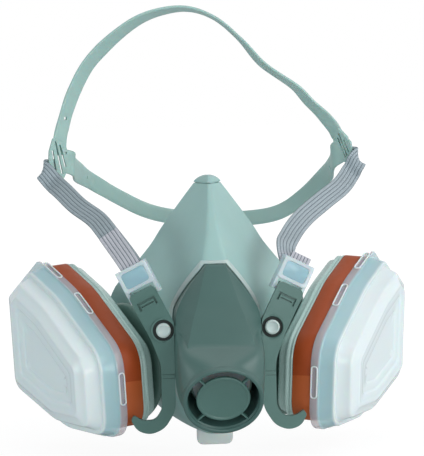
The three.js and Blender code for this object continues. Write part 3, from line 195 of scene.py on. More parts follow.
def bare(name):
    """A material with only its shader, and the node that gives it coordinates."""
    material = bpy.data.materials.new(name)
    material.use_nodes = True
    tree = material.node_tree
    tree.nodes.clear()
    shader = tree.nodes.new("ShaderNodeBsdfPrincipled")
    add(tree, "ShaderNodeOutputMaterial", None, {"Surface": shader})
    return material, tree, shader, add(tree, "ShaderNodeTexCoord")


def parts_of(material):
    """A finish's tree, its shader and its coordinates."""
    kinds = {node.type: node for node in material.node_tree.nodes}
    return material.node_tree, kinds["BSDF_PRINCIPLED"], kinds["TEX_COORD"].outputs["Object"]


def finish(name, tones, pattern, fine, bump, soft=(0, 0), kind="ShaderNodeTexNoise", tone_from=0, **sockets):
    """Two tones that follow a pattern, and bumps from a finer noise, or from the same
    pattern where none is given. Soft is how much light enters and how deep in millimetres,
    and other values go to the shader's inputs."""
    material, tree, shader, place = bare(name)
    along = {"Vector": place.outputs["Object"]}
    coarse = add(tree, kind, pattern, along)
    dark, light = tones
    mixing = {"data_type": "RGBA", 6: hexa(dark), 7: hexa(light)}
    mix = add(tree, "ShaderNodeMix", mixing, {0: coarse.outputs[tone_from]})
    tree.links.new(mix.outputs[2], shader.inputs["Base Color"])
    grain = add(tree, "ShaderNodeTexNoise", fine, along) if fine else coarse
    relief = add(tree, "ShaderNodeBump", {"Strength": bump[0], "Distance": bump[1] * MM}, {"Height": grain})
    tree.links.new(relief.outputs[0], shader.inputs["Normal"])
    if soft[0]:
        sockets |= {"Subsurface_Weight": soft[0], "Subsurface_Scale": soft[1] * MM}
    for socket, value in sockets.items():
        shader.inputs[socket.replace("_", " ")].default_value = value
    return material, grain


def moulded(name, light, dark, grain_mm, bump, roughness, cloud_mm=25, **more):
    """Moulded plastic or rubber: a faint cloud of two tones and the grain of the mould."""
    cloud = {"Scale": 1 / (cloud_mm * MM), "Detail": 3.0}
    fine = {"Scale": 1 / (grain_mm * MM), "Detail": 4.0, "Roughness": 0.6}
    material, grain = finish(name, (dark, light), cloud, fine, (bump, 0.12), **more)
    tree, shader, _ = parts_of(material)
    spread = {"From Min": 0.3, "From Max": 0.7, "To Min": roughness - 0.06, "To Max": roughness + 0.08}
    polish = add(tree, "ShaderNodeMapRange", spread, {"Value": grain})
    tree.links.new(polish.outputs[0], shader.inputs["Roughness"])
    return material


# Thermoplastic elastomer, injection moulded: waxy and soft-edged, because light enters it
elastomer = moulded("moulded_elastomer", "a4c7c3", "97bbb7", 0.9, 0.25, 0.42, soft=(0.12, 4), IOR=1.48)
# The pale copy is for the chin tongue: partly the tongue's own paler look, partly painted light against the
# housing's shade
elastomer_pale = moulded("pale_elastomer", "f0f6f4", "e2edea", 0.9, 0.2, 0.4, soft=(0.3, 4), IOR=1.48)
# The studs' own pale grey. The cover's rim is painted in it too, paler than the facepiece rubber it is part
# of, as a painted highlight
stud_grey = moulded("stud_elastomer", "c3d3d0", "b4c6c3", 0.9, 0.2, 0.4, soft=(0.1, 2), IOR=1.48)
# Nylon, moulded in a spark-eroded tool: fine even grain and a soft highlight
dark_nylon = moulded("moulded_dark_nylon", "4e736d", "44675f", 0.7, 0.35, 0.38, IOR=1.52)
# The hood and housing get a darker copy of the arms' nylon: painted shade on the same nylon
shaded_hood_nylon = moulded("moulded_nylon_painted_shade", "426560", "3a5a55", 0.7, 0.35, 0.38, IOR=1.52)
port_nylon = moulded("moulded_olive_nylon", "6f8f85", "5f8078", 0.8, 0.3, 0.42, IOR=1.52)
# ABS, moulded with a light polish
polished = {"IOR": 1.54, "Coat_Weight": 0.25, "Coat_Roughness": 0.12}
case_abs = moulded("moulded_pale_abs", "c3ded8", "b3d0c9", 0.8, 0.08, 0.24, **polished)
# EPDM sheet rubber, cut: dull
gasket_rubber = moulded("cut_sheet_rubber", "2b3432", "222a28", 0.5, 0.4, 0.75, IOR=1.5)
# Liquid silicone, moulded thin: pale and slightly clear
silicone = moulded("moulded_silicone", "c3cdcf", "b0bcc0", 1.2, 0.1, 0.35, soft=(0.3, 2), IOR=1.43)
# Low-density polyethylene strap, moulded: waxy and flexible
cradle_pe = moulded("moulded_polyethylene", "a9cac4", "98bbb5", 1.0, 0.2, 0.4, soft=(0.15, 3), IOR=1.5)
# Coloured polyester film: a smooth clear lacquer over a flat colour
label_film = moulded("lacquered_label_film", "ab4d22", "a1461e", 3.0, 0.06, 0.45, cloud_mm=40, IOR=1.35)


def brighter_below_level(material, level_mm, code):
    """The label turns to a brighter colour below a level."""
    tree, shader, place = parts_of(material)
    upper = shader.inputs["Base Color"].links[0].from_socket
    parts = add(tree, "ShaderNodeSeparateXYZ", None, {0: place})
    ends = {"From Min": level_mm * MM, "From Max": (level_mm - 0.2) * MM}
    below = add(tree, "ShaderNodeMapRange", ends, {"Value": parts.outputs[2]})
    tones = add(tree, "ShaderNodeMix", {"data_type": "RGBA", 7: hexa(code)}, {0: below, 6: upper})
    tree.links.new(tones.outputs[2], shader.inputs["Base Color"])


brighter_below_level(label_film, -41, "bd5f31")


def clouded(name, tint, alpha, roughness, **more):
    """Natural polypropylene or clear acetal: milky, so shapes behind it show only softly."""
    cloud = {"Scale": 1 / (30 * MM), "Detail": 2.0}
    fine = {"Scale": 1 / (1.4 * MM), "Detail": 3.0}
    more |= {"Alpha": alpha, "Roughness": roughness}
    return finish(name, (tint, tint), cloud, fine, (0.15, 0.1), **more)[0]


def thin_wall(name, out, base):
    """Natural polypropylene that thins towards the lip: clearest and faintly lilac there,
    blue-green on the first step and nearly white on the face. The height over the port
    gives the tone, and both sides share it, because the width is taken without its sign."""
    material = clouded(name, "dcebef", 0.8, 0.2, soft=(0.2, 3), IOR=1.49)
    tree, shader, place = parts_of(material)
    parts = add(tree, "ShaderNodeSeparateXYZ", None, {0: place})
    wide = add(tree, "ShaderNodeMath", {"operation": "ABSOLUTE"}, {0: parts.outputs[0]})
    mirrored = add(tree, "ShaderNodeCombineXYZ", None, {0: wide, 1: parts.outputs[1], 2: parts.outputs[2]})
    height = add(tree, "ShaderNodeVectorMath", {"operation": "DOT_PRODUCT", 1: tuple(out)}, {0: mirrored})
    start = out.dot(base) * MM
    heights = {"From Min": start + 26 * MM, "From Max": start + 50 * MM}
    level = add(tree, "ShaderNodeMapRange", heights, {"Value": height.outputs["Value"]})
    tones = add(tree, "ShaderNodeValToRGB", None, {0: level})
    steps = [
        (0.16, "d3c8ce", 0.52), (0.21, "b4d9df", 0.75), (0.5, "badce2", 0.8),
        (0.56, "eaf4f5", 0.88), (1, "edf6f8", 0.92),
    ]
    while len(tones.color_ramp.elements) < len(steps):
        tones.color_ramp.elements.new(0.5)
    for element, (spot, code, alpha) in zip(tones.color_ramp.elements, steps):
        element.position = spot
        element.color = hexa(code, alpha)
    tree.links.new(tones.outputs[0], shader.inputs["Base Color"])
    tree.links.new(tones.outputs[1], shader.inputs["Alpha"])
    return material


def port_axis(side):
    """The way a cheek port points, and the middle of its face in millimetres."""
    yaw, pitch = math.radians(30), math.radians(3)
    out = Vector((side * math.cos(pitch) * math.cos(yaw), -math.cos(pitch) * math.sin(yaw), -math.sin(pitch)))
    return out, Vector((side * 49.2, -3, -36.4))


retainer_pp = thin_wall("natural_polypropylene", *port_axis(1))
# The slot rims are painted whiter than the dish, as a painted highlight along the windows' edges
slot_rim_highlight_pp = clouded("polypropylene_rim_painted_highlight", "f2f6f7", 0.92, 0.2, soft=(0.3, 2), IOR=1.49)
buckle_pp = clouded("clear_acetal", "dcebef", 0.78, 0.18, soft=(0.25, 3), IOR=1.48)
pane_acetal = clouded("clear_acetal_pane", "a3cbd7", 0.82, 0.16, soft=(0.2, 2), IOR=1.48)

# Needled polyester felt: short fibres with no direction, soft and white
fibre = {"Scale": 1 / (0.8 * MM), "Detail": 6.0, "Roughness": 0.7, "Distortion": 1.5}
fluffy = {"Roughness": 0.95, "Sheen_Weight": 0.4}
felt_white, _ = finish("needled_felt", ("dcdfdd", "f6f6f3"), fibre, None, (0.7, 0.4), **fluffy)
# Activated carbon: black broken grains of about a millimetre
broken = {"kind": "ShaderNodeTexVoronoi", "tone_from": "Color", "Roughness": 0.85}
carbon_tones, carbon_grain = ("1c1c1e", "3a3a3d"), {"Scale": 1 / (1.2 * MM)}
carbon_black, _ = finish("loose_carbon_granules", carbon_tones, carbon_grain, None, (0.9, 0.6), **broken)


def elastic_weave():
    """Woven elastic: polyester yarn over rubber cores. The ribs are in the mesh, and the
    finish adds the cross threads, which repeat every 0.9 millimetres, drawn coarse
    enough to show. The strap's own map gives millimetres along and across it."""
    material, tree, shader, place = bare("woven_elastic")
    along = {"Vector": place.outputs["UV"]}
    bands = {"wave_type": "BANDS", "bands_direction": "X", "Scale": 0.5, "Distortion": 1.5, "Detail": 2.0}
    threads = add(tree, "ShaderNodeTexWave", bands, along)
    fuzz = add(tree, "ShaderNodeTexNoise", {"Scale": 2.2, "Detail": 4.0, "Roughness": 0.7}, along)
    both = add(tree, "ShaderNodeMath", {"operation": "MULTIPLY"}, {0: threads.outputs["Fac"], 1: fuzz})
    parts = add(tree, "ShaderNodeSeparateXYZ", None, {0: place.outputs["UV"]})
    # The tail and the turn round the bar, up to 30 to 36 millimetres along, are painted lilac-white as a
    # painted sheen; beyond that the strap has its yarn's blue-grey
    buckle_end_sheen = add(tree, "ShaderNodeMapRange", {"From Min": 30.0, "From Max": 36.0}, {"Value": parts})
    yarn_and_sheen_tones = {"data_type": "RGBA", 6: hexa("d3d3dc"), 7: hexa("b3c1c8")}
    yarn = add(tree, "ShaderNodeMix", yarn_and_sheen_tones, {0: buckle_end_sheen})
    mottle = {"From Min": 0.1, "From Max": 0.6, "To Min": 0.72, "To Max": 1.12}
    speckle = add(tree, "ShaderNodeMapRange", mottle, {"Value": both})
    product = {"data_type": "RGBA", "blend_type": "MULTIPLY", 0: 1.0}
    tones = add(tree, "ShaderNodeMix", product, {6: yarn.outputs[2], 7: speckle})
    # Dark lines along the grooves between the ribs are painted shade in the grooves
    halved = {"operation": "MULTIPLY_ADD", 1: 0.5, 2: 3.0}
    shifted = add(tree, "ShaderNodeMath", halved, {0: parts.outputs[1]})
    between = add(tree, "ShaderNodeMath", {"operation": "PINGPONG", 1: 0.5}, {0: shifted})
    groove = add(tree, "ShaderNodeMapRange", {"From Min": 0.04, "From Max": 0.17}, {"Value": between})
    lines = {"data_type": "RGBA", 6: hexa("66737a")}
    ribs = add(tree, "ShaderNodeMix", lines, {0: groove, 7: tones.outputs[2]})
    tree.links.new(ribs.outputs[2], shader.inputs["Base Color"])
    shader.inputs["Roughness"].default_value = 0.85
    shader.inputs["Sheen Weight"].default_value = 0.15
    relief = add(tree, "ShaderNodeBump", {"Strength": 0.8, "Distance": 0.00025}, {"Height": both})
    tree.links.new(relief.outputs[0], shader.inputs["Normal"])
    return material


elastic = elastic_weave()
print("finishes made:", len(bpy.data.materials))

# %% [markdown]
# Tools for the pieces. Shapes are written in millimetres and turned to metres when the
# mesh is made. A loft joins a row of loops, a revolved profile makes the round parts, and
# cuts are made by subtracting closed cutters, as a machinist would.


# %% Mesh tools
def shown(name, shape, material, body=None, sharp=34):
    """A mesh piece from points in millimetres, shaded smooth except over sharp edges. It
    goes on its body at once, or once it is finished where no body is given."""
    points, faces = shape
    mesh = bpy.data.meshes.new(name)
    mesh.from_pydata([Vector(p) * MM for p in points], [], faces)
    work = bmesh.new()
    work.from_mesh(mesh)
    bmesh.ops.remove_doubles(work, verts=work.verts, dist=0.000002)
    bmesh.ops.recalc_face_normals(work, faces=work.faces)
    work.to_mesh(mesh)
    work.free()
    mesh.materials.append(material)
    made = bpy.data.objects.new(name, mesh)
    bpy.context.scene.collection.objects.link(made)
    smooth(made, sharp)
    if body:
        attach(made, body)
    return made


def tool(shape):
    """A closed shape that is added to a piece or cut out of it, and never stays."""
    return shown("tool", shape, None)


def rod(radius, low, high, sides, matrix):
    """A round tool between two heights."""
    return tool(revolved([(radius, low), (radius, high)], sides, matrix))


def smooth(made, sharp=34):
    made.data.shade_smooth()
    made.data.set_sharp_from_angle(angle=math.radians(sharp))


def settle(made, sharp=34):
    """Turns the result of a piece's modifiers into its plain mesh."""
    graph = bpy.context.evaluated_depsgraph_get()
    mesh = bpy.data.meshes.new_from_object(made.evaluated_get(graph))
    made.modifiers.clear()
    made.data = mesh
    smooth(made, sharp)
    return made


def combine(made, others, operation, sharp=34):
    """Adds or subtracts closed pieces, then removes them."""
    for other in others:
        step = made.modifiers.new("shape", "BOOLEAN")
        step.operation = operation
        step.solver = "EXACT"
        step.object = other
        settle(made, sharp)
        bpy.data.objects.remove(other)
    return made


def eased(made, width_mm, angle=40, sharp=34):
    """Rounds the edges that are sharper than the angle."""
    step = made.modifiers.new("edges", "BEVEL")
    step.width = width_mm * MM
    step.segments = 2
    step.limit_method = "ANGLE"
    step.angle_limit = math.radians(angle)
    return settle(made, sharp)


def loft(loops, ring=False):
    """Points and faces through loops of equal counts, with a cap at each end."""
    count = len(loops[0])
    points = [p for loop in loops for p in loop]
    faces = []
    rows = len(loops) if ring else len(loops) - 1
    for row in range(rows):
        here, there = row * count, ((row + 1) % len(loops)) * count
        for i in range(count):
            j = (i + 1) % count
            faces.append((here + i, here + j, there + j, there + i))
    if not ring:
        faces.append(tuple(range(count))[::-1])
        faces.append(tuple(range((len(loops) - 1) * count, len(loops) * count)))
    return points, faces


def revolved(profile, sides, matrix, ring=False):
    """A shape turned about the local Z axis from radius and height pairs. A ring has a
    closed profile that stays off the axis."""
    loops = []
    for radius, height in profile:
        loop = []
        for i in range(sides):
            angle = 2 * math.pi * i / sides
            loop.append(matrix @ Vector((radius * math.cos(angle), radius * math.sin(angle), height)))
        loops.append(loop)
    return loft(loops, ring)


def block(width, height, depth, middle, matrix=None, spin=0):
    """A box about a middle point, turned about the local Z axis."""
    twist = Matrix.Rotation(spin, 3, "Z")
    corners = []
    for z in (-depth / 2, depth / 2):
        for x, y in ((-1, -1), (1, -1), (1, 1), (-1, 1)):
            point = Vector(middle) + twist @ Vector((x * width / 2, y * height / 2, z))
            corners.append(matrix @ point if matrix else point)
    return loft([corners[:4], corners[4:]])


def soft_line(points, shares, steps):
    """A polyline whose inner corners are replaced by short curves. Each corner has a share
    for the edge before it and one for the edge after it."""
    points = [Vector(p) for p in points]
    result = [points[0]]
    for before, corner, after, (back, ahead) in zip(points, points[1:], points[2:], shares):
        start, end = corner.lerp(before, back), corner.lerp(after, ahead)
        for k in range(steps + 1):
            t = k / steps
            result.append(start.lerp(corner, t).lerp(corner.lerp(end, t), t))
    result.append(points[-1])
    return result


def round_outline(corners, steps):
    """A closed outline with rounded corners from (x, y, radius) triples."""
    result = []
    for i, (x, y, radius) in enumerate(corners):
        corner = Vector((x, y))
        before, after = Vector(corners[i - 1][:2]), Vector(corners[(i + 1) % len(corners)][:2])
        back, ahead = before - corner, after - corner
        half = back.angle(ahead) / 2
        reach = min(radius / math.tan(half), min(back.length, ahead.length) * 0.49)
        start, end = corner + back.normalized() * reach, corner + ahead.normalized() * reach
        for k in range(steps + 1):
            t = k / steps
            result.append(start.lerp(corner, t).lerp(corner.lerp(end, t), t))
    return result


def inset_corners(corners, inset):
    """The outline's corners after every edge has moved inwards."""
    lines = []
    for i, (x, y, _) in enumerate(corners):
        along = (Vector(corners[(i + 1) % len(corners)][:2]) - Vector((x, y))).normalized()
        lines.append((Vector((x, y)) + Vector((-along.y, along.x)) * inset, along))
    moved = []
    for i, (_, _, radius) in enumerate(corners):
        (p, d), (q, e) = lines[i - 1], lines[i]
        gap = q - p
        travel = (gap.x * e.y - gap.y * e.x) / (d.x * e.y - d.y * e.x)
        meet = p + d * travel
        moved.append((meet.x, meet.y, max(radius - inset, radius * 0.25)))
    return moved


def through(points, count):
    """Evenly spaced points on a smooth curve through the given ones."""
    points = [Vector(p) for p in points]
    first, last = points[0] * 2 - points[1], points[-1] * 2 - points[-2]
    line = [first, *points, last]
    dense = []
    for a, b, c, d in zip(line, line[1:], line[2:], line[3:]):
        t0 = 0
        t1 = t0 + max((b - a).length, 1e-6) ** 0.5
        t2 = t1 + max((c - b).length, 1e-6) ** 0.5
        t3 = t2 + max((d - c).length, 1e-6) ** 0.5
        for k in range(24):
            t = t1 + (t2 - t1) * k / 24
            ab = a * ((t1 - t) / (t1 - t0)) + b * ((t - t0) / (t1 - t0))
            bc = b * ((t2 - t) / (t2 - t1)) + c * ((t - t1) / (t2 - t1))
            cd = c * ((t3 - t) / (t3 - t2)) + d * ((t - t2) / (t3 - t2))
            abc = ab * ((t2 - t) / (t2 - t0)) + bc * ((t - t0) / (t2 - t0))
            bcd = bc * ((t3 - t) / (t3 - t1)) + cd * ((t - t1) / (t3 - t1))
            dense.append(abc * ((t2 - t) / (t2 - t1)) + bcd * ((t - t1) / (t2 - t1)))
    dense.append(points[-1])
    lengths = [0]
    for p, q in zip(dense, dense[1:]):
        lengths.append(lengths[-1] + (q - p).length)
    result = []
    k = 0
    for i in range(count):
        want = lengths[-1] * i / (count - 1)
        while k < len(dense) - 2 and lengths[k + 1] < want:
            k += 1
        span = max(lengths[k + 1] - lengths[k], 1e-9)
        result.append(dense[k].lerp(dense[k + 1], min(1, (want - lengths[k]) / span)))
    return result


def blended(values, count):
    """Values spread evenly over a count and blended between neighbours."""
    result = []
    for i in range(count):
        place = i / (count - 1) * (len(values) - 1)
        low = min(int(place), len(values) - 2)
        a, b, t = values[low], values[low + 1], place - low
        result.append(a.lerp(b, t).normalized() if isinstance(a, Vector) else a + (b - a) * t)
    return result


# %% [markdown]
# Places that several pieces share: the frame of each cheek port, of the round exhalation
# housing, of each yoke arm and its buckle, and of the plates at the harness corners. Each
# is a matrix with its Z axis pointing out of the part, as a maker would set up a jig.


# %% Shared places
def jig(place, across, up, out):
    made = Matrix((across, up, out)).transposed().to_4x4()
    made.translation = Vector(place)
    return made


def port_jig(side):
    out, base = port_axis(side)
    across = Vector((-out.y, out.x, 0)).normalized()
    return jig(base, across, out.cross(across), out)


TILT = math.radians(29)
housing_in = Vector((0, math.cos(TILT), math.sin(TILT)))
housing_up = Vector((0, -math.sin(TILT), math.cos(TILT)))
housing_jig = jig((0, -85, -48), housing_up.cross(housing_in), housing_up, housing_in)

ARM_INNER, ARM_FRONT, ARM_SLOPE, ARM_THICK = 24.4, -58, 0.22, 3.4
TAB_X, TAB_Z, TAB_LEAN = 42.2, 10.2, math.radians(27.7)
STUD_X, STUD_Z = 30.2, -11.8


def arm_y(x):
    return ARM_FRONT + ARM_SLOPE * (abs(x) - ARM_INNER)


def arm_out(side):
    slope = math.atan(ARM_SLOPE) * side
    return Vector((math.sin(slope), -math.cos(slope), 0))


def tab_jig(side):
    lean, out = TAB_LEAN * side, arm_out(side)
    up = Vector((math.sin(lean), 0, math.cos(lean)))
    up = (up - out * up.dot(out)).normalized()
    return jig((side * TAB_X, arm_y(TAB_X), TAB_Z), up.cross(out), up, out)


def arm_jig(side, x, z):
    out, up = arm_out(side), Vector((0, 0, 1))
    return jig((side * x, arm_y(x), z), up.cross(out), up, out)


def stud_jig(side):
    place = (side * STUD_X, arm_y(STUD_X), STUD_Z)
    return jig(place, Vector((1, 0, 0)), Vector((0, 0, 1)), Vector((0, -1, 0)))


# The harness box in millimetres, in whose shares the strap and band paths are written
HARNESS = (86, 150, 165)
corner_spot = {-1: (-0.982, 0.493, 0.471), 1: (1.041, 0.493, 0.488)}
corner_turn = {-1: math.radians(24), 1: math.radians(50)}


def corner_jig(side):
    out = Vector((-side * math.sin(corner_turn[side]), -math.cos(corner_turn[side]), 0))
    across = Vector((0, 0, 1)).cross(out)
    spot = [a * b for a, b in zip(corner_spot[side], HARNESS)]
    return jig(spot, across, Vector((0, 0, 1)), out)


SIDES = {-1: "left", 1: "right"}
print("port faces at", [[round(x, 1) for x in port_jig(side).translation] for side in SIDES])


# %% [markdown]
# The facepiece is one soft moulding: a tall nose, two cheeks that fold back to the seal and
# a rounded chin. It could be sculpted, but its form follows levels, so it is a loft: one
# soft-cornered line for each level from the chin to the nose, with more levels put between
# by a smooth curve. The seal lip is the same sheet turned inwards at its edge, and the
# wall comes from Solidify.

# %% Facepiece
FACE = (120, 80, 152)
face_rows = [
    (-0.505, 0.055, -0.26, -0.17, 0.02, 0.035, -0.24),
    (-0.48, 0.13, -0.34, -0.11, 0.04, 0.09, -0.3),
    (-0.44, 0.225, -0.45, 0.05, 0.06, 0.15, -0.37),
    (-0.395, 0.29, -0.5, 0.13, 0.09, 0.19, -0.4),
    (-0.33, 0.385, -0.54, 0.22, 0.1, 0.225, -0.38),
    (-0.25, 0.455, -0.565, 0.31, 0.1, 0.235, -0.365),
    (-0.165, 0.485, -0.58, 0.355, 0.1, 0.24, -0.37),
    (-0.07, 0.485, -0.59, 0.34, 0.1, 0.24, -0.395),
    (0.03, 0.445, -0.59, 0.26, 0.088, 0.225, -0.41),
    (0.13, 0.34, -0.58, 0.15, 0.07, 0.18, -0.34),
    (0.2, 0.27, -0.52, 0.11, 0.05, 0.148, -0.275),
    (0.26, 0.222, -0.45, 0.08, 0.033, 0.122, -0.228),
    (0.32, 0.168, -0.37, 0.045, 0.022, 0.095, -0.19),
    (0.385, 0.108, -0.27, 0.01, 0.014, 0.062, -0.14),
    (0.425, 0.07, -0.2, -0.015, 0.008, 0.042, -0.115),
    (0.445, 0.05, -0.165, -0.04, 0.006, 0.03, -0.105),
    (0.456, 0.03, -0.14, -0.06, 0.004, 0.018, -0.1),
    (0.461, 0.012, -0.12, -0.075, 0.002, 0.006, -0.096),
]


def finer_rows(rows, steps):
    """More levels between the given ones, on a smooth curve through every column."""
    result = []
    for i in range(len(rows) - 1):
        a, b, c, d = rows[max(i - 1, 0)], rows[i], rows[i + 1], rows[min(i + 2, len(rows) - 1)]
        for k in range(steps):
            t = k / steps
            row = []
            for p, q, r, s in zip(a, b, c, d):
                bend = (2 * p - 5 * q + 4 * r - s) * t * t + (3 * q - p - 3 * r + s) * t**3
                row.append(0.5 * (2 * q + (r - p) * t + bend))
            result.append(tuple(row))
    result.append(rows[-1])
    return result


def face_line(row, steps=6):
    height, half, front, seal, flat, knee, knee_back = row
    z = height * FACE[2]
    out, y_front, y_seal = half * FACE[0], front * FACE[1], seal * FACE[1]
    flat_half, knee_x, knee_y = flat * FACE[0] * 0.9, knee * FACE[0], knee_back * FACE[1]
    right = [(flat_half, y_front, z), (knee_x, knee_y, z), (out, y_seal, z)]
    left = [(-x, y, z) for x, y, z in reversed(right)]
    return soft_line([*left, *right], [(0.42, 0.42), (0.1, 0.3), (0.3, 0.1), (0.42, 0.42)], steps)


LIP_WIDE, SHEET_TOP, WALL_THICK = 9.0, 0.436, 2.0


def face_sheet():
    """The outside as one sheet, with the seal lip folded in at both edges of each level."""
    lines = []
    for row in finer_rows(face_rows, 4):
        if row[0] > SHEET_TOP:
            break
        line = face_line(row)
        lip = min(LIP_WIDE, line[-1].x * 0.8)
        fold = [(lip, -1.6), (lip * 0.5, 0.3), (1.2, 0.5)]
        left = [line[0] + Vector((x, y, 0)) for x, y in fold]
        right = [line[-1] + Vector((-x, y, 0)) for x, y in reversed(fold)]
        lines.append([*left, *line, *right])
    count = len(lines[0])
    points = [p for line in lines for p in line]
    starts = [row * count + i for row in range(len(lines) - 1) for i in range(count - 1)]
    return points, [(a, a + 1, a + count + 1, a + count) for a in starts]


# The tip is a closed cap, a little wider than the sheet that it closes
tip = [face_line(row) for row in finer_rows(face_rows, 4) if row[0] > SHEET_TOP - 0.002]
root = sum(tip[0], Vector()) / len(tip[0])
tip = [[p + (p - root) * (0.11 - 0.055 * i / len(tip)) for p in line] for i, line in enumerate(tip)]
tip.insert(0, [root + (p - root) * 0.8 + Vector((0, 0, -1)) for p in tip[0]])
nose = shown("nose_cap", loft(tip), elastomer, "mask", 60)
facepiece = shown("facepiece_shell", face_sheet(), elastomer, None, 60)
step = facepiece.modifiers.new("wall", "SOLIDIFY")
step.thickness = WALL_THICK * MM
step.offset = -1
settle(facepiece, 60)
print("foremost point of the wall:", round(min(v.co.y for v in facepiece.data.vertices), 4))

# %% [markdown]
# Each cheek carries a round port flange. On the real part it is a disc with a rolled rim
# that the cartridge's gasket presses on, joined to the cheek by a stepped cone. It is a
# turned profile, and the bore is cut through it and the cheek.

# %% Port flanges
PORT_BORE, NOZZLE_BORE = 17.8, 15.2
flange_profile = [
    (0, -17), (21.5, -17), (22.6, -15.4), (23.9, -13.9), (24.5, -13.4), (24.6, -12.6), (25.6, -11.6),
    (26.2, -11.1), (26.3, -10.3), (27.3, -9.2), (27.8, -8.7), (27.9, -7.9), (28.8, -7.2), (31.6, -5.2),
    (33.2, -4.1), (34, -2.9), (33.8, -1.5), (32.8, -0.6), (31, -0.1), (28.6, 0), (0, 0),
]
bores = []
for side, name in SIDES.items():
    bores.append(rod(PORT_BORE, -30, 4, 56, port_jig(side)))
    flange_shape = revolved(flange_profile, 72, port_jig(side))
    flange = shown(f"port_flange_{name}", flange_shape, port_nylon, "mask", 40)
    combine(flange, [rod(PORT_BORE, -30, 4, 56, port_jig(side))], "DIFFERENCE", 40)
combine(facepiece, [*bores, rod(NOZZLE_BORE, 10, 60, 48, housing_jig)], "DIFFERENCE", 60)
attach(facepiece, "mask")
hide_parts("facepiece")
print("facepiece faces:", len(facepiece.data.polygons))

# %% [markdown]
# Behind the front cover a short nozzle leads the breath out. Under the chin a pale tongue
# of the same rubber shows, painted much paler than the facepiece: partly its own paler look
# and partly painted light that lifts it out of the housing's shade. Both are moulded with the
# facepiece, so they are plain closed shapes that grow out of it.

# %% Nozzle, stud bosses and chin tongue
nozzle_profile = [(NOZZLE_BORE, 20), (16.6, 20), (17.4, 20.8), (17.4, 54), (NOZZLE_BORE, 54)]
nozzle = shown("exhalation_nozzle", revolved(nozzle_profile, 48, housing_jig, True), elastomer, "mask")
boss_profile = [(0, -26), (3.5, -26), (3.5, -4.6), (3.0, -4.3), (0, -4.3)]
for side, name in SIDES.items():
    made = shown(f"stud_boss_{name}", revolved(boss_profile, 24, stud_jig(side)), elastomer, "mask")


def chin_loop(inset, y):
    half, low, top = 10.3 - inset, -83.6 + inset, -72
    corners = [(-half, top, 0.01), (-half, low, 4.2 - inset), (half, low, 4.2 - inset), (half, top, 0.01)]
    return [Vector((p.x, y, p.y)) for p in round_outline(corners, 6)]


chin_steps = [(0.9, -18), (0.2, -17.6), (0, -17), (0, -15.8), (0.2, -15.2), (0.9, -15)]
chin_shape = loft([chin_loop(*step) for step in chin_steps])
# The chin tongue is painted near-white: partly its own paler rubber, partly painted light
chin = shown("chin_tongue", chin_shape, elastomer_pale, "mask", 50)
print("chin tongue:", [round(x / MM, 1) for x in chin.dimensions], "mm")

# %% [markdown]
# The front cover is a dark moulding that tapers up the nose ridge with a flat front facet
# and two slanted flanks, and ends below in a housing that is round at its mouth and turns
# into a flat-topped square further in. It is painted in a darker copy of the arms' nylon, as
# painted shade on its hood and housing. The two forms are lofted apart, joined, hollowed
# and trimmed to the facepiece, and then the edges are rounded a little, because a moulded
# edge is never sharp. A thin rim of the facepiece's rubber shows all round the cover,
# painted a paler grey than the facepiece as a painted highlight along the cover's edge.

# %% Front cover
HOOD_TOP, HOOD_HIGH, HOOD_WIDE, HOOD_DEEP, HOOD_BACK = 23, 82, 48, 50, -36
hood_rows = [
    (0, 0.12, 0.112, 0.3, 0.28),
    (0.146, 0.32, 0.19, 0.45, 0.32),
    (0.262, 0.445, 0.25, 0.56, 0.4),
    (0.342, 0.486, 0.3, 0.65, 0.46),
    (0.512, 0.497, 0.385, 0.83, 0.5),
    (0.62, 0.497, 0.44, 0.91, 0.53),
    (0.73, 0.485, 0.42, 0.8, 0.5),
    (0.9, 0.42, 0.3, 0.56, 0.36),
    (1, 0.28, 0.2, 0.36, 0.24),
]


def hood(shrink):
    loops = []
    for drop, half, facet, facet_front, side_front in finer_rows(hood_rows, 5):
        z = HOOD_TOP - drop * HOOD_HIGH
        middle = HOOD_TOP - HOOD_HIGH / 2
        z = middle + (z - middle) * (HOOD_HIGH - 2 * shrink) / HOOD_HIGH
        back = HOOD_BACK + (18 if shrink else 20)
        outer = max(half * HOOD_WIDE - shrink, 0.9)
        inner = min(max(facet * HOOD_WIDE - shrink * 0.6, 0.6), outer * 0.95)
        front = HOOD_BACK - facet_front * HOOD_DEEP + shrink
        flank = HOOD_BACK - side_front * HOOD_DEEP + shrink
        right = [(inner, front, z), (outer, flank, z), (outer, back, z)]
        loops.append([Vector((-x, y, h)) for x, y, h in reversed(right)] + [Vector(p) for p in right])
    return loft(loops)


# Depth, radius, and how far the section has turned from a circle into a square
barrel_rows = [
    (0.9, 19.6, 0), (0.35, 19.8, 0), (0, 20.3, 0), (-0.1, 20.9, 0), (0.05, 21.5, 0), (0.5, 22, 0),
    (1.2, 22.2, 0.01), (2.2, 22.2, 0.03), (2.9, 21.95, 0.06), (3.6, 21.8, 0.1), (5, 21.9, 0.17),
    (7, 22, 0.27), (9, 22.1, 0.38), (12, 22.2, 0.56), (15, 22.3, 0.74), (19, 22.4, 0.92),
    (24, 22.5, 1), (44, 22.5, 1),
]
SQUARE_WIDE, SQUARE_UP, SQUARE_DOWN = 24.3, 21.9, 23


def barrel_loop(depth, radius, square, steps=96):
    """A circle at the mouth that turns into a flat-topped, round-shouldered square."""
    loop = []
    for k in range(steps):
        c, u = math.cos(math.tau * k / steps), math.sin(math.tau * k / steps)
        wide = radius + (SQUARE_WIDE - radius) * square
        high = radius + ((SQUARE_UP if u > 0 else SQUARE_DOWN) - radius) * square
        power = 2 / (2 + (6 * square**1.6 if u > 0 else square))
        x = wide * math.copysign(abs(c) ** power, c)
        y = high * math.copysign(abs(u) ** power, u) - 0.5 * (1 - square)
        loop.append(housing_jig @ Vector((x, y, depth)))
    return loop


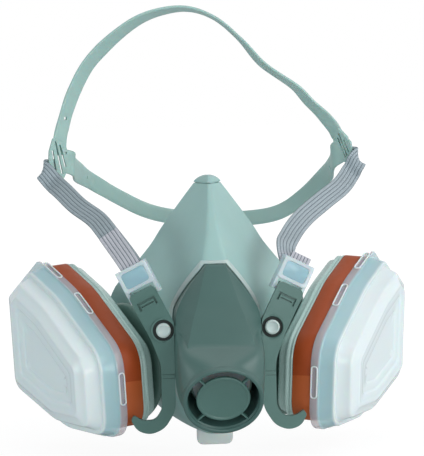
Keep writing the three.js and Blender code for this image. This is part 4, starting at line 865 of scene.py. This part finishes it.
def face_solid(grow):
    """The facepiece's outside as a closed shape, to trim what lies against it."""
    loops = []
    for row in finer_rows(face_rows, 2):
        line = face_line(row, 5)
        centre = Vector((0, sum(p.y for p in line) / len(line), line[0].z))
        loops.append([centre + (p - centre) * (1 + grow / max((p - centre).length, 4)) for p in line])
    return loft(loops)


# The cover wears the darker copy of the nylon, as painted shade
cover = shown("front_cover_moulding", hood(0), shaded_hood_nylon)
combine(cover, [tool(loft([barrel_loop(*row) for row in barrel_rows]))], "UNION")
bore_profile = [(20, -3), (20, 1.4), (19.4, 2.4), (19.4, 47)]
combine(cover, [tool(hood(1.8)), tool(revolved(bore_profile, 96, housing_jig))], "DIFFERENCE")
combine(cover, [tool(face_solid(0.6))], "DIFFERENCE", 30)
eased(cover, 0.45, 32, 30)
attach(cover, "mask")
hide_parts("front_cover")
print("cover faces:", len(cover.data.polygons))

# The rim is facepiece rubber painted pale grey, a painted highlight along the cover's edge
rim = shown("cover_rim_painted_highlight", hood(-2.0), stud_grey)
combine(rim, [tool(face_solid(1.5))], "INTERSECT", 60)
combine(rim, [tool(hood(-0.4)), tool(face_solid(-1.2))], "DIFFERENCE", 60)
eased(rim, 0.3, 50, 60)
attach(rim, "mask")
print("rim faces:", len(rim.data.polygons))

# %% [markdown]
# The grille is a disc held in the housing by thin spokes. Spokes repeat round a circle, so
# Geometry Nodes place them: a circle of points carries one spoke each, turned to face the
# centre. Realize Instances and Set Material end the tree, and the result becomes a plain
# mesh.


# %% Grille spokes
spokes = bpy.data.node_groups.new("spokes_round_a_circle", "GeometryNodeTree")
for label, kind, value in (
    ("Count", "NodeSocketInt", 4),
    ("Inner radius", "NodeSocketFloat", 0.0143),
    ("Outer radius", "NodeSocketFloat", 0.0198),
    ("Width", "NodeSocketFloat", 0.001),
    ("Thickness", "NodeSocketFloat", 0.002),
    ("Height", "NodeSocketFloat", 0.0028),
):
    spokes.interface.new_socket(label, in_out="INPUT", socket_type=kind).default_value = value
spokes.interface.new_socket("Geometry", in_out="OUTPUT", socket_type="NodeSocketGeometry")
given = add(spokes, "NodeGroupInput").outputs
both_radii = {0: given["Inner radius"], 1: given["Outer radius"]}
reach = add(spokes, "ShaderNodeMath", {"operation": "ADD"}, both_radii)
middle = add(spokes, "ShaderNodeMath", {"operation": "MULTIPLY", 1: 0.5}, {0: reach})
radii = {0: given["Outer radius"], 1: given["Inner radius"]}
length = add(spokes, "ShaderNodeMath", {"operation": "SUBTRACT"}, radii)
circle = add(spokes, "GeometryNodeMeshCircle", None, {"Vertices": given["Count"], "Radius": middle})
size = add(spokes, "ShaderNodeCombineXYZ", None, {"X": length, "Y": given["Width"], "Z": given["Thickness"]})
bar = add(spokes, "GeometryNodeMeshCube", {"Vertices X": 5, "Vertices Y": 3, "Vertices Z": 3}, {"Size": size})
where = add(spokes, "GeometryNodeInputPosition")
aim = add(spokes, "FunctionNodeAlignRotationToVector", {"axis": "X"}, {"Vector": where})
on_circle = {"Points": circle, "Instance": bar, "Rotation": aim}
placed = add(spokes, "GeometryNodeInstanceOnPoints", None, on_circle)
lift = add(spokes, "ShaderNodeCombineXYZ", None, {"Z": given["Height"]})
raised = add(spokes, "GeometryNodeTransform", None, {"Geometry": placed, "Translation": lift})
real = add(spokes, "GeometryNodeRealizeInstances", None, {"Geometry": raised})
coat = add(spokes, "GeometryNodeSetMaterial", {"Material": dark_nylon}, {"Geometry": real})
add(spokes, "NodeGroupOutput", None, {0: coat})

spoke_piece = bpy.data.objects.new("grille_spokes", bpy.data.meshes.new("grille_spokes"))
bpy.context.scene.collection.objects.link(spoke_piece)
spoke_piece.modifiers.new("grow", "NODES").node_group = spokes
settle(spoke_piece, 40)
turned = housing_jig @ Matrix.Rotation(math.radians(45), 4, "Z")
place = Matrix.LocRotScale(turned.translation * MM, turned.to_quaternion(), None)
spoke_piece.data.transform(place)
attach(spoke_piece, "mask")
print("spokes made:", len(spoke_piece.data.polygons), "faces")

disc_profile = [
    (0, 3.8), (14.1, 3.8), (14.6, 3.6), (14.8, 3.2), (14.8, 2.3), (14.5, 1.9), (13.9, 1.75),
    (13.3, 1.9), (13, 2.3), (12.6, 2.5), (0, 2.5),
]
disc = shown("grille_disc", revolved(disc_profile, 72, housing_jig), dark_nylon, "mask", 50)

# %% [markdown]
# Each yoke arm is a flat moulding: a tab that the buckle hangs on, a round recess for the
# stud, a neck, and an open hook at the foot for a neck strap. Its outline is drawn once
# with rounded corners and given its thickness, then the recess and the tab's grooves are
# cut, and the edges rounded.

# %% Yoke arms
ARM_WIDE, ARM_HIGH, ARM_TOP = 25, 84, 13.8
arm_corners = [
    (0.43, 0, 0.14), (0.99, -0.083, 0.14), (0.52, -0.36, 0.7), (0.3, -0.53, 0.9), (0.3, -0.83, 0.3),
    (0.45, -0.905, 0.35), (0.74, -0.905, 0.3), (0.92, -0.872, 0.04), (0.99, -0.905, 0.09),
    (0.86, -0.975, 0.35), (0.58, -1, 0.4), (0.26, -0.962, 0.6), (0, -0.84, 0.7), (0, -0.25, 0.3),
]
CATCH_REACH = ARM_THICK + 6.2 + 1.8
tab_grooves = [(11, 1.3, 0, -6.2), (1.2, 4.6, -4.9, -7.9), (1.2, 4.6, 4.9, -7.9), (7.4, 0.8, 0, -8.4)]
rim_profile = [(6.0, -1.5), (6.9, 0.05), (6.6, 0.45), (6.2, 0.45), (5.9, 0.1)]
# A black ring at the floor of the stud's recess is painted shade for the deep recess
recess_shade_profile = [(2.6, -1.5), (5.9, -1.5), (5.9, -1.1), (2.6, -1.1)]
stud_profile = [
    (0, -15.7), (2.2, -15.7), (2.2, -0.9), (3.9, -0.9), (4.1, -0.6), (4.1, 0.5), (3.8, 0.9),
    (3.2, 1.1), (2.9, 0.8), (0, 0.8),
]
for side, name in SIDES.items():
    tab, place = tab_jig(side), stud_jig(side)
    corners = [(side * (ARM_INNER + x * ARM_WIDE), ARM_TOP + z * ARM_HIGH, r * 25) for x, z, r in arm_corners]
    outline = round_outline(corners, 8)
    loops = [[Vector((p.x, arm_y(p.x) + back, p.y)) for p in outline] for back in (0, ARM_THICK)]
    arm = shown(f"yoke_arm_moulding_{name}", loft(loops), dark_nylon)
    bridge = tool(block(9, 2, CATCH_REACH, (0, -1, -CATCH_REACH / 2 - 0.3), tab))
    lip = tool(block(9, 6, 1.8, (0, -3, -CATCH_REACH + 0.9 - 0.3), tab))
    toe_middle = (side * (ARM_INNER - 2.3), ARM_FRONT + 1.7, ARM_TOP - 37 - 8)
    combine(arm, [bridge, lip, tool(block(5.6, 3, 8, toe_middle))], "UNION")
    cuts = [rod(6, -1.5, 4, 48, place), rod(2.5, -8, 1, 24, place)]
    cuts += [tool(block(wide, high, 2.6, (x, y, 0), tab)) for wide, high, x, y in tab_grooves]
    cuts += [tool(block(30, 0.5, 0.9, (0, 0, 0), arm_jig(side, 32, z))) for z in (-36.3, -38.6)]
    combine(arm, cuts, "DIFFERENCE")
    eased(arm, 0.4)
    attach(arm, "mask")
    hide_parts(f"yoke_arm_{name}")
    rim = shown(f"stud_rim_{name}", revolved(rim_profile, 48, place, True), dark_nylon, "mask")
    # The black rubber ring is painted shade: it stands where the deep recess is in shade
    recess_shade_ring = revolved(recess_shade_profile, 48, place, True)
    recess_shade = shown(f"stud_recess_shade_{name}", recess_shade_ring, gasket_rubber, "mask")
    stud = shown(f"stud_{name}", revolved(stud_profile, 48, place), stud_grey, "mask", 50)
    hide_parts(f"yoke_stud_{name}")
    print("arm faces:", len(arm.data.polygons))

# %% [markdown]
# The cartridge is a shallow case with a rounded outline that has one corner cut off. The
# retainer's lip follows the same outline with a lower bottom edge. Walls, backs and the
# coloured band all follow it at different insets, so one function gives the outline and
# each piece is a stack of it.

# %% Cartridge outline
lip_corners = [
    (39.8, -35.2, 15), (39.8, 14, 22), (-5, 45.5, 60), (-35.6, 58.6, 10), (-56, 45, 10),
    (-56, -18, 18.2), (-5.8, -35.2, 40),
]
CASE_LOW = -31.8
case_corners = [(x, max(y, CASE_LOW), radius) for x, y, radius in lip_corners]
# The cut corner lies between this corner and the next one
CUT = 3


def outline_points(corners, inset, steps):
    """The outline at an inset. Far enough in, the cut corner shrinks to nothing, and then
    its two neighbours meet in one corner with as many points."""
    moved = inset_corners(corners, inset)
    (x, y, _), (nx, ny, _) = moved[CUT], moved[CUT + 1]
    (ox, oy, _), (px, py, _) = corners[CUT], corners[CUT + 1]
    if (nx - x) * (px - ox) + (ny - y) * (py - oy) > 60:
        return round_outline(moved, steps)
    (ax, ay, _), (bx, by, _), (cx, _, _) = corners[CUT - 1], corners[CUT], corners[CUT + 1]
    share = (cx - ax) / (bx - ax)
    joined = (cx, ay + (by - ay) * share, 12)
    merged = inset_corners([*corners[:CUT], joined, *corners[CUT + 2 :]], inset)
    coarse, fine = round_outline(merged, steps), round_outline(merged, 2 * steps + 1)
    first, width = CUT * (steps + 1), 2 * steps + 2
    return coarse[:first] + fine[CUT * width : CUT * width + width] + coarse[first + steps + 1 :]


def stacked(side, profile, steps=10, ring=False, corners=case_corners):
    """The outline at each inset and height of a profile, joined to one shape."""
    matrix, loops = port_jig(side), []
    for inset, z in profile:
        flat = outline_points(corners, inset, steps)
        loops.append([matrix @ Vector((-side * p.x, p.y, z)) for p in flat])
    return loft(loops, ring)


print("cartridge outline points:", len(outline_points(case_corners, 0, 10)))


# %% [markdown]
# The case has a thin wall, a back that steps in towards the port, and a step under the
# coloured band. Its bore has three bayonet notches. Inside are a fill of carbon grains and
# a pierced grid over it, and a felt pad lies on the grid.

# %% Cartridge cases and bands
case_profile = [
    (5.8, 5), (5.6, 10.9), (2.9, 11.2), (2.9, 28), (1.7, 28), (1.6, 27.7), (1.6, 26), (1.6, 14.4),
    (1.25, 14.2), (1.05, 13.8), (1.15, 13.3), (1.6, 13), (2.15, 12.8), (2.3, 12.3), (2.15, 11.8),
    (1.6, 11.5), (1.5, 11), (1.55, 10.3), (1.9, 9.7), (2.6, 9.5), (3.4, 9.4), (3.9, 9), (4.1, 8.2),
    (4.3, 6.2), (4.8, 5.1), (5.6, 4.3), (6.8, 3.7), (8.2, 3.5),
]
band_profile = [(1.3, 14.7), (0.95, 14.7), (0.9, 14.8), (0.9, 25.5), (0.95, 25.6), (1.3, 25.6)]
fill_profile = [(3.2, 11.5), (3.2, 27.7)]
grid_profile = [(1.9, 28.3), (1.6, 28.6), (1.6, 29.7), (1.9, 30)]
pad_profile = [(7.6, 30.4), (6.7, 30.8), (6.5, 31.8), (6.5, 33.6), (6.8, 34.5), (7.8, 34.95), (12, 35.0)]
NOTCH_HALF, NOTCH_OUT, NOTCH_IN = math.radians(14.5), 20.8, 14.5
HOLE_STEP_X, HOLE_STEP_Y, HOLE_RADIUS, HOLE_MARGIN = 15, 13, 4, 10.5


def notch(matrix, middle):
    """A tool for one bayonet notch: a piece of a ring round the port's axis."""
    loops = []
    for z in (-2, 9):
        ends = []
        for radius, way in ((NOTCH_OUT, 1), (NOTCH_IN, -1)):
            for k in range(7):
                angle = middle + way * NOTCH_HALF * (k / 3 - 1)
                ends.append(matrix @ Vector((radius * math.cos(angle), radius * math.sin(angle), z)))
        loops.append(ends)
    return tool(loft(loops))


for side, name in SIDES.items():
    port = port_jig(side)
    case = shown(f"cartridge_shell_{name}", stacked(side, case_profile), case_abs, None, 45)
    notches = [notch(port, math.radians(i * 120 + 90 + side * 90)) for i in range(3)]
    combine(case, [rod(17.9, -2, 9, 56, port), *notches], "DIFFERENCE", 45)
    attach(case, f"cartridge_{name}")
    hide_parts(f"cartridge_case_{name}")

    ring = stacked(side, band_profile, 10, True)
    band = shown(f"coloured_band_{name}", ring, label_film, f"cartridge_{name}", 50)
    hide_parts(f"cartridge_label_{name}")

    grains = stacked(side, fill_profile, 8)
    bed = shown(f"carbon_fill_{name}", grains, carbon_black, f"cartridge_{name}", 50)
    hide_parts(f"carbon_bed_{name}")

    lid = shown(f"cartridge_grid_{name}", stacked(side, grid_profile, 8), case_abs, None, 45)
    edge = outline_points(case_corners, HOLE_MARGIN, 4)
    sides = [(p, q) for p, q in zip(edge, edge[1:] + edge[:1]) if (q - p).length > 0.05]
    holes = []
    for row in range(-5, 6):
        for column in range(-5, 6):
            x, y = (column + row % 2 / 2) * HOLE_STEP_X, row * HOLE_STEP_Y
            if all((q - p).cross(Vector((x, y)) - p) > 0 for p, q in sides):
                holes.append(rod(HOLE_RADIUS, 26, 32, 24, port @ Matrix.Translation((-side * x, y, 0))))
    print("holes in the grid:", len(holes))
    combine(lid, holes, "DIFFERENCE", 45)
    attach(lid, f"cartridge_{name}")
    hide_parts(f"cartridge_lid_{name}")

    cushion = stacked(side, pad_profile, 8)
    pad = shown(f"prefilter_felt_{name}", cushion, felt_white, f"retainer_{name}", 60)
    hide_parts(f"prefilter_{name}")

# %% [markdown]
# The retainer is a thin milky dish that snaps over the cartridge. Its side steps inwards
# up to a flat face with a shallow panel, and each step has a crisp edge. The profile is
# drawn as inset and height and followed round the outline, outside and inside. The windows
# in the lip are pressed in afterwards, each with a raised rim painted white as a painted
# highlight, and a rounded lobe to pull at is added on the cut corner.

# %% Retainers
outer_profile = [
    (0.15, 26.0), (0, 26.3), (0, 30.2), (0.3, 30.8), (0.9, 31.1), (1.2, 31.6), (2.7, 37.8),
    (2.75, 38.6), (3.1, 39.3), (3.7, 39.6), (4.4, 39.5), (5.4, 39.5), (5.9, 39.9), (8.3, 45.8),
    (8.5, 46.7), (9.1, 47.3), (10.0, 47.5), (13.3, 49.1), (13.9, 49.6), (14.6, 50.05), (15.4, 50.1),
    (16.2, 49.9), (17.2, 49.8), (20.0, 49.8), (20.5, 49.5), (21.0, 49.1), (21.7, 49.0),
    (25.2, 49.0), (25.8, 48.7), (26.3, 48.3), (30, 48.2),
]
inner_profile = [(inset + 1.15, z - 1.0 if z > 31 else z) for inset, z in outer_profile]
inner_profile[0] = (1.2, 26.0)
dish_profile = [*reversed(inner_profile), *outer_profile]
# The outline's edge that each window is on, how far along it, and half of its length
windows = [(0, 0.58, 8.5), (1, 0.78, 8.5), (2, 0.72, 8.5), (4, 0.5, 7.5), (5, 0.5, 7.5), (6, 0.4, 7.5)]
WINDOW_RADIUS, WINDOW_HEIGHT, LOBE_EDGE, LOBE_ALONG = 1.3, 28.3, 3, 0.45
rim_section = [(0, -0.9), (-0.75, -0.9), (-0.8, 0.25), (-0.6, 0.5), (-0.3, 0.5), (0, 0.25)]


def lip_jig(side, edge, share, height):
    """A frame on the lip's outside: X along the edge, Y away from the port, Z outwards."""
    (x, y, _), (nx, ny, _) = lip_corners[edge], lip_corners[(edge + 1) % len(lip_corners)]
    start, end = Vector((-side * x, y, 0)), Vector((-side * nx, ny, 0))
    along = (end - start).normalized()
    out = Vector((along.y, -along.x, 0))
    spot = start.lerp(end, share)
    if out.dot(spot) < 0:
        along, out = -along, -out
    return port_jig(side) @ jig((spot.x, spot.y, height), along, out.cross(along), out)


def pressed(matrix, profile, half, ring=False):
    """A stack of long round-ended outlines from inset and height pairs."""
    loops = []
    for inset, out in profile:
        wide, high, bend = half - inset, WINDOW_RADIUS - inset, WINDOW_RADIUS - inset - 0.02
        corners = [(-wide, -high, bend), (wide, -high, bend), (wide, high, bend), (-wide, high, bend)]
        loops.append([matrix @ Vector((p.x, p.y, out)) for p in round_outline(corners, 8)])
    return loft(loops, ring)


for side, name in SIDES.items():
    dish_shape = stacked(side, dish_profile, 10, False, lip_corners)
    dish = shown(f"retainer_dish_{name}", dish_shape, retainer_pp)
    cutters = []
    for edge, share, half in windows:
        spot = lip_jig(side, edge, share, WINDOW_HEIGHT)
        cutters.append(tool(pressed(spot, [(0, -0.55), (0, 2)], half)))
        # Each window's rim is painted whiter, a painted highlight
        ring = pressed(spot, rim_section, half, True)
        rim = shown(f"slot_rim_{name}_{edge}", ring, slot_rim_highlight_pp, f"retainer_{name}", 40)
    lobe, place = [], lip_jig(side, LOBE_EDGE, LOBE_ALONG, 0)
    for height, inset in ((29.3, 0.5), (29.5, 0.1), (30.5, 0.1), (30.8, 0.5)):
        top, out = 10.6 - inset, 3.4 - inset
        corners = [(-11.5, -7, 0.01), (11.5, -7, 0.01), (top, out, 6), (-top, out, 6)]
        lobe.append([place @ Vector((p.x, height, p.y)) for p in round_outline(corners, 8)])
    finger = tool(loft(lobe))
    room = tool(stacked(side, [(0.6, 24), (0.6, 50)], 10, False, lip_corners))
    combine(finger, [room], "DIFFERENCE")
    combine(dish, cutters, "DIFFERENCE")
    combine(dish, [finger], "UNION")
    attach(dish, f"retainer_{name}")
    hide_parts(f"filter_retainer_{name}")
    print("retainer faces:", len(dish.data.polygons))

# %% [markdown]
# The buckle is a small clear frame: two side walls, a bar that hangs on the yoke arm, a
# bar that the strap runs round, and a front plate with a raised round-cornered rim about a
# clearer pane. It is modelled from blocks, bars and a loft joined to one body.

# %% Buckles
FRAME_WALL, FRAME_HIGH, FRAME_DEEP, BAR_RADIUS = 1.8, 19.6, 5.5, 1.3
BAR_DEPTH = -ARM_THICK - 3.1 - 0.3
BAR_DROP = -2 - 0.4 - BAR_RADIUS
# The strap's bar lies higher than the arm's bar and further back
BAR_RISE, BAR_BACK = 9, -2.9
FRAME_INNER = 18.6 / 2 - FRAME_WALL
frame_low = BAR_DROP - BAR_RADIUS
frame_front = BAR_DEPTH + 2
PLATE_CLEAR = 7.2
rim_steps = [(2.1, -0.6), (0.3, -0.9), (0, -0.5), (0, 0.3), (0.35, 0.7), (1.7, 0.7), (2.1, 0.4)]


def frame_loop(matrix, inset, out):
    half, low, top = 9.3 - inset, frame_low + 6.4 + inset, frame_low + FRAME_HIGH - inset
    corners = [(-half, low, 2.2), (half, low, 2.2), (half, top, 2.2), (-half, top, 2.2)]
    return [matrix @ Vector((p.x, p.y, frame_front + out)) for p in round_outline(corners, 6)]


for side, name in SIDES.items():
    tab = tab_jig(side)
    walls = []
    for way in (1, -1):
        centre = (way * (FRAME_INNER + 0.9), frame_low + FRAME_HIGH / 2, BAR_DEPTH - 0.75)
        walls.append(block(FRAME_WALL, FRAME_HIGH, FRAME_DEEP, centre, tab))
    buckle = shown(f"buckle_frame_{name}", walls[0], buckle_pp)
    joined = [tool(walls[1])]
    for lift, depth in ((0, 0), (BAR_RISE, BAR_BACK)):
        place = tab @ Matrix.Translation((0, BAR_DROP + lift, BAR_DEPTH + depth))
        place = place @ Matrix.Rotation(math.radians(90), 4, "Y")
        joined.append(rod(BAR_RADIUS, -FRAME_INNER - 0.9, FRAME_INNER + 0.9, 24, place))
    high = FRAME_HIGH - PLATE_CLEAR - 0.9
    centre = (0, frame_low + PLATE_CLEAR + high / 2, frame_front - 0.65)
    joined.append(tool(block(2 * FRAME_INNER + 1.8, high, 1.3, centre, tab)))
    joined.append(tool(loft([frame_loop(tab, *step) for step in rim_steps], True)))
    pane_loops = [frame_loop(tab, *step) for step in ((2.2, -0.1), (2.2, 0.1), (2.5, 0.25))]
    pane = shown(f"buckle_pane_{name}", loft(pane_loops), pane_acetal, "harness", 40)
    combine(buckle, joined, "UNION")
    eased(buckle, 0.35)
    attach(buckle, "harness")
    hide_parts(f"buckle_{name}")
    print("buckle faces:", len(buckle.data.polygons))


# %% [markdown]
# The straps are flat woven elastic with raised ribs along them. A strap is a ribbon whose
# cross section is drawn once, with its ribs, and carried along the strap's path. It runs
# from its cut tail through the buckle, round the bar, and back to the plate at the
# harness corner, where it turns round the plate's edge to its back. Its map holds
# millimetres, so the weave keeps its size.


# %% Ribbons
def ribbon(name, path, directions, widths, section, material, body=None):
    """Carries a flat section of (across, out) shares along a path, with a map."""
    loops = []
    for i, point in enumerate(path):
        along = (path[min(i + 1, len(path) - 1)] - path[max(i - 1, 0)]).normalized()
        across = (directions[i] - along * directions[i].dot(along)).normalized()
        out = along.cross(across)
        loops.append([point + across * (u * widths[i] / 2) + out * v for u, v in section])
    made = shown(name, loft(loops), material, None, 50)
    layer = made.data.uv_layers.new(name="strap_map")
    lengths = [0]
    for p, q in zip(path, path[1:]):
        lengths.append(lengths[-1] + (q - p).length)
    spots = [(lengths[i], u * widths[i] / 2) for i in range(len(path)) for u, _ in section]
    if len(made.data.vertices) == len(spots):
        for loop in made.data.loops:
            layer.data[loop.index].uv = spots[loop.vertex_index]
    print(name, "millimetres along:", round(lengths[-1], 1), "points:", len(spots), len(made.data.vertices))
    if body:
        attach(made, body)
    return made


def ribbed_section(thick, ribs, rise):
    top, steps = [], ribs * 6
    for k in range(steps + 1):
        u = -1 + 2 * k / steps
        wave = abs(math.sin(math.pi * ribs * (u + 1) / 2)) ** 0.6
        edge = 1 if abs(u) < 0.97 else 0.6
        top.append((u, (thick / 2 - rise * (1 - wave)) * edge))
    return top + [(u, -v) for u, v in reversed(top)]


def smooth_section(thick):
    left = [(-1, thick * 0.2), (-0.97, thick * 0.42), (-0.92, thick / 2), (-0.5, thick / 2)]
    top = [*left, (0, thick / 2), *[(-u, v) for u, v in reversed(left)]]
    return top + [(u, -v) for u, v in reversed(top)]


strap_spots = {
    -1: [(-0.679, -0.167, 0.243), (-0.745, -0.01, 0.28), (-0.86, 0.16, 0.317), (-0.955, 0.32, 0.36)],
    1: [
        (0.473, -0.253, 0.175), (0.534, -0.12, 0.217), (0.64, 0, 0.262), (0.813, 0.16, 0.31),
        (0.98, 0.32, 0.352),
    ],
}
landing_spots = {
    -1: [
        (-5.8, -13.9, 5), (-8.4, -9.4, 2), (-9.3, -7.3, 0), (-7.9, -6.8, -1.9),
        (-4.6, -6.8, -1.8), (-0.1, -7, -1.8),
    ],
    1: [
        (9.5, -16.1, 5), (10.8, -11, 2), (10.8, -7.9, 0), (9.4, -7, -1.9),
        (6, -6.7, -1.8), (2.2, -6.6, -1.8),
    ],
}
strap_turns = {
    -1: [(1, 0, 0.55)] * 5 + [(0.95, 0.05, 0.6), (0.85, 0.15, 0.7), (0.5, 0.22, 0.9), (0, 0, 1)],
    1: [
        (1, 0, -0.35), (1, 0, -0.6), (1, 0, -0.75), (1, 0, -0.8), (1, 0, -0.8), (1, -0.1, -0.8),
        (0.9, -0.4, -0.75), (0.4, -0.5, -1), (0, 0, -1),
    ],
}


STRAP_WIDE, STRAP_THICK = 12, 1.3
TURN_RADIUS = BAR_RADIUS + 0.3 + STRAP_THICK / 2
STRAP_EXIT = FRAME_HIGH - BAR_RISE


def in_harness(spots):
    return [Vector([a * b for a, b in zip(spot, HARNESS)]) for spot in spots]


for side, name in SIDES.items():
    tab = tab_jig(side)

    def at(up, out):
        return tab @ Vector((0, BAR_DROP + BAR_RISE + up, BAR_DEPTH + BAR_BACK + out))

    bends = [math.pi * i / 10 for i in range(11)]
    arc = [at(-math.sin(bend) * TURN_RADIUS, math.cos(bend) * TURN_RADIUS) for bend in bends]
    across = (tab.to_3x3() @ Vector((1, 0, 0))).normalized()
    route = in_harness(strap_spots[side])
    landing = [corner_jig(side) @ Vector(spot) for spot in landing_spots[side]]
    if side < 0:
        start = [at(STRAP_EXIT * 0.55, -TURN_RADIUS), at(STRAP_EXIT, -TURN_RADIUS)]
        tail_end = route[0] + Vector((0, -1, 0)) * (1.3 + 0.5 + TURN_RADIUS)
    else:
        start = [at(STRAP_EXIT * 0.4, -TURN_RADIUS)]
        tail_end = at(STRAP_EXIT + 2.4, TURN_RADIUS)
    main = through([*start, *route, *landing], 110)
    tail = through([tail_end, at(STRAP_EXIT, TURN_RADIUS), at(STRAP_EXIT * 0.5, TURN_RADIUS)], 16)
    turns = [Vector(turn).normalized() for turn in strap_turns[side]]
    directions = blended([turns[0] if side < 0 else across, across, across, across], len(tail))
    directions += [across] * len(arc)
    directions += blended([across, across, *turns], len(main))
    path = [*tail, *arc, *main]
    section = ribbed_section(STRAP_THICK, 6, 0.28)
    widths = [STRAP_WIDE] * len(path)
    strap = ribbon(f"elastic_strap_{name}", path, directions, widths, section, elastic, "harness")
    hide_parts(f"strap_{name}")

# %% [markdown]
# The cradle is two moulded bands. The rear one lies low behind the head and ends in thin
# plates with slanting slots. The crown band goes over the head and is riveted behind each
# plate. Both are smooth ribbons with rounded edges and small punched holes.

# %% Cradle
rear_spots = [
    (-0.961, 0.498, 0.462), (-0.879, 0.52, 0.448), (-0.859, 0.573, 0.423), (-0.806, 0.693, 0.395),
    (-0.721, 0.853, 0.356), (-0.527, 0.93, 0.29), (-0.327, 0.974, 0.234), (-0.136, 0.995, 0.206),
    (0.149, 0.995, 0.195), (0.436, 0.953, 0.195), (0.642, 0.89, 0.218), (0.817, 0.805, 0.283),
    (0.935, 0.707, 0.356), (0.975, 0.62, 0.398), (0.981, 0.534, 0.449), (1.026, 0.503, 0.47),
    (1.056, 0.483, 0.476),
]
crown_spots = [
    (-0.921, 0.533, 0.609), (-0.9, 0.54, 0.643), (-0.845, 0.56, 0.713), (-0.72, 0.585, 0.82),
    (-0.4, 0.62, 0.958), (-0.185, 0.63, 0.997), (-0.007, 0.633, 1), (0.169, 0.631, 0.964),
    (0.342, 0.625, 0.885), (0.493, 0.614, 0.793), (0.735, 0.6, 0.699), (0.821, 0.6, 0.648),
    (0.913, 0.587, 0.599),
]
plate_outline = {
    -1: [(-2.4, 12.6, 1.4), (6, 6.5, 1.4), (8.2, -4, 1.4), (3.4, -13.7, 1.6), (-5.9, -5, 2), (-5.3, 4, 2)],
    1: [(-4.8, 11, 1.4), (5.9, 2.2, 1.4), (6.6, -4, 1.4), (3.4, -10.5, 1.6), (-6, -9, 1.6), (-8, 3, 2)],
}
plate_slots = {
    -1: [(-1.2, 10.1, 2.9, -9.8), (1.7, 7.7, 5.1, -5.8), (-3.1, 4.5, -1.4, -7.7)],
    1: [(-3.5, 7.2, 3.2, -6.2), (-4.3, 4.6, 1.9, -7.4), (0.6, 3.6, 4.4, -3.8)],
}
peg_spot = {-1: (5.4, 2.6), 1: (-6.2, 3.6)}
crown_ends = {-1: [(3, 1.3), (2.9, 7), (3.6, 12.5)], 1: [(-1.2, 1.5), (-7.5, 6.5), (-10.1, 10.1)]}


BAND_THICK, REAR_POINTS, CROWN_POINTS, CROWN_BACK = 1.5, 140, 150, -2.3


def punched(band, path, directions, spots):
    """Cuts small round holes through a band where its path passes the given spots."""
    cutters = []
    for spot in in_harness(spots):
        i = min(range(len(path)), key=lambda k: (path[k] - spot).length)
        along = (path[i + 1] - path[i - 1]).normalized()
        out = along.cross(directions[i]).normalized()
        cutters.append(rod(1.2, -3, 3, 24, jig(path[i], along, out.cross(along), out)))
    return combine(band, cutters, "DIFFERENCE", 50)


def peg_jig(side):
    return corner_jig(side) @ Matrix.Translation((*peg_spot[side], 0))


rear_path = through(in_harness(rear_spots), REAR_POINTS)
rear_turns = [Vector((0, 0, 1))] * REAR_POINTS
wider = [1.5, 1.5, 1.25]
rear_widths = [w * 9.5 for w in blended([*wider, *[1] * 6, *reversed(wider)], REAR_POINTS)]
rear = ribbon("rear_band_strap", rear_path, rear_turns, rear_widths, smooth_section(BAND_THICK), cradle_pe)
punched(rear, rear_path, rear_turns, [(-0.8, 0.79, 0.394), (0.965, 0.625, 0.415)])
for side in SIDES:
    corner = corner_jig(side)
    outline = round_outline(plate_outline[side], 6)
    faces_at = (-BAND_THICK / 2, BAND_THICK / 2)
    plate = tool(loft([[corner @ Vector((p.x, p.y, z)) for p in outline] for z in faces_at]))
    combine(rear, [plate, rod(1, -4, 0, 24, peg_jig(side))], "UNION", 50)
    cuts = []
    for x0, y0, x1, y1 in plate_slots[side]:
        size, spin = math.hypot(x1 - x0, y1 - y0), math.atan2(x1 - x0, y0 - y1)
        cuts.append(tool(block(1.1, size, 6, ((x0 + x1) / 2, (y0 + y1) / 2, 0), corner, spin)))
    cuts.append(rod(0.75, 0.3, 2, 20, peg_jig(side)))
    combine(rear, cuts, "DIFFERENCE", 50)
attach(rear, "harness")
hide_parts("rear_band")


def crown_end(side):
    return [corner_jig(side) @ Vector((x, y, CROWN_BACK)) for x, y in crown_ends[side]]


crown_route = [*crown_end(-1), *in_harness(crown_spots), *reversed(crown_end(1))]
crown_path = through(crown_route, CROWN_POINTS)
left_across, right_across = [(corner_jig(s).to_3x3() @ Vector((-s, 0, 0))).normalized() for s in SIDES]
over_head = [
    (0.75, 0.66, 0), (0.66, 0.75, 0), (0.55, 0.78, -0.3), (0.3, 0.88, -0.38), (0.1, 0.95, -0.28),
    (0, 1, -0.1), (-0.1, 1, 0), (-0.3, 0.95, 0), (-0.4, 0.92, 0),
]
over_head = [Vector(v).normalized() for v in over_head]
crown_turns = blended([left_across, *over_head, right_across, right_across], CROWN_POINTS)
thinner = [0.72, 0.76, 0.95]
crown_widths = [w * 12.5 for w in blended([*thinner, *[1] * 6, *reversed(thinner)], CROWN_POINTS)]
crown_section = smooth_section(BAND_THICK)
crown = ribbon("crown_band_strap", crown_path, crown_turns, crown_widths, crown_section, cradle_pe)
punched(crown, crown_path, crown_turns, [(-0.92, 0.5, 0.618)])
combine(crown, [rod(1.3, -8, 4, 24, peg_jig(side)) for side in SIDES], "DIFFERENCE", 50)
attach(crown, "crown")
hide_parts("crown_band")

# %% [markdown]
# The remaining pieces keep their solids' shapes, because those are already right: the port
# inserts, gaskets and valves. They only need their finishes.

# %% Finishes for the kept solids
kept = {
    "exhalation_seat": port_nylon,
    "exhalation_valve": silicone,
    "bayonet_port": port_nylon,
    "port_gasket": gasket_rubber,
    "inhalation_valve": silicone,
}
for node_name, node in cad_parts.items():
    for start, material in kept.items():
        if node_name.startswith(start):
            node.data.materials.clear()
            node.data.materials.append(material)
            smooth(node)
            print("finish on", node_name)
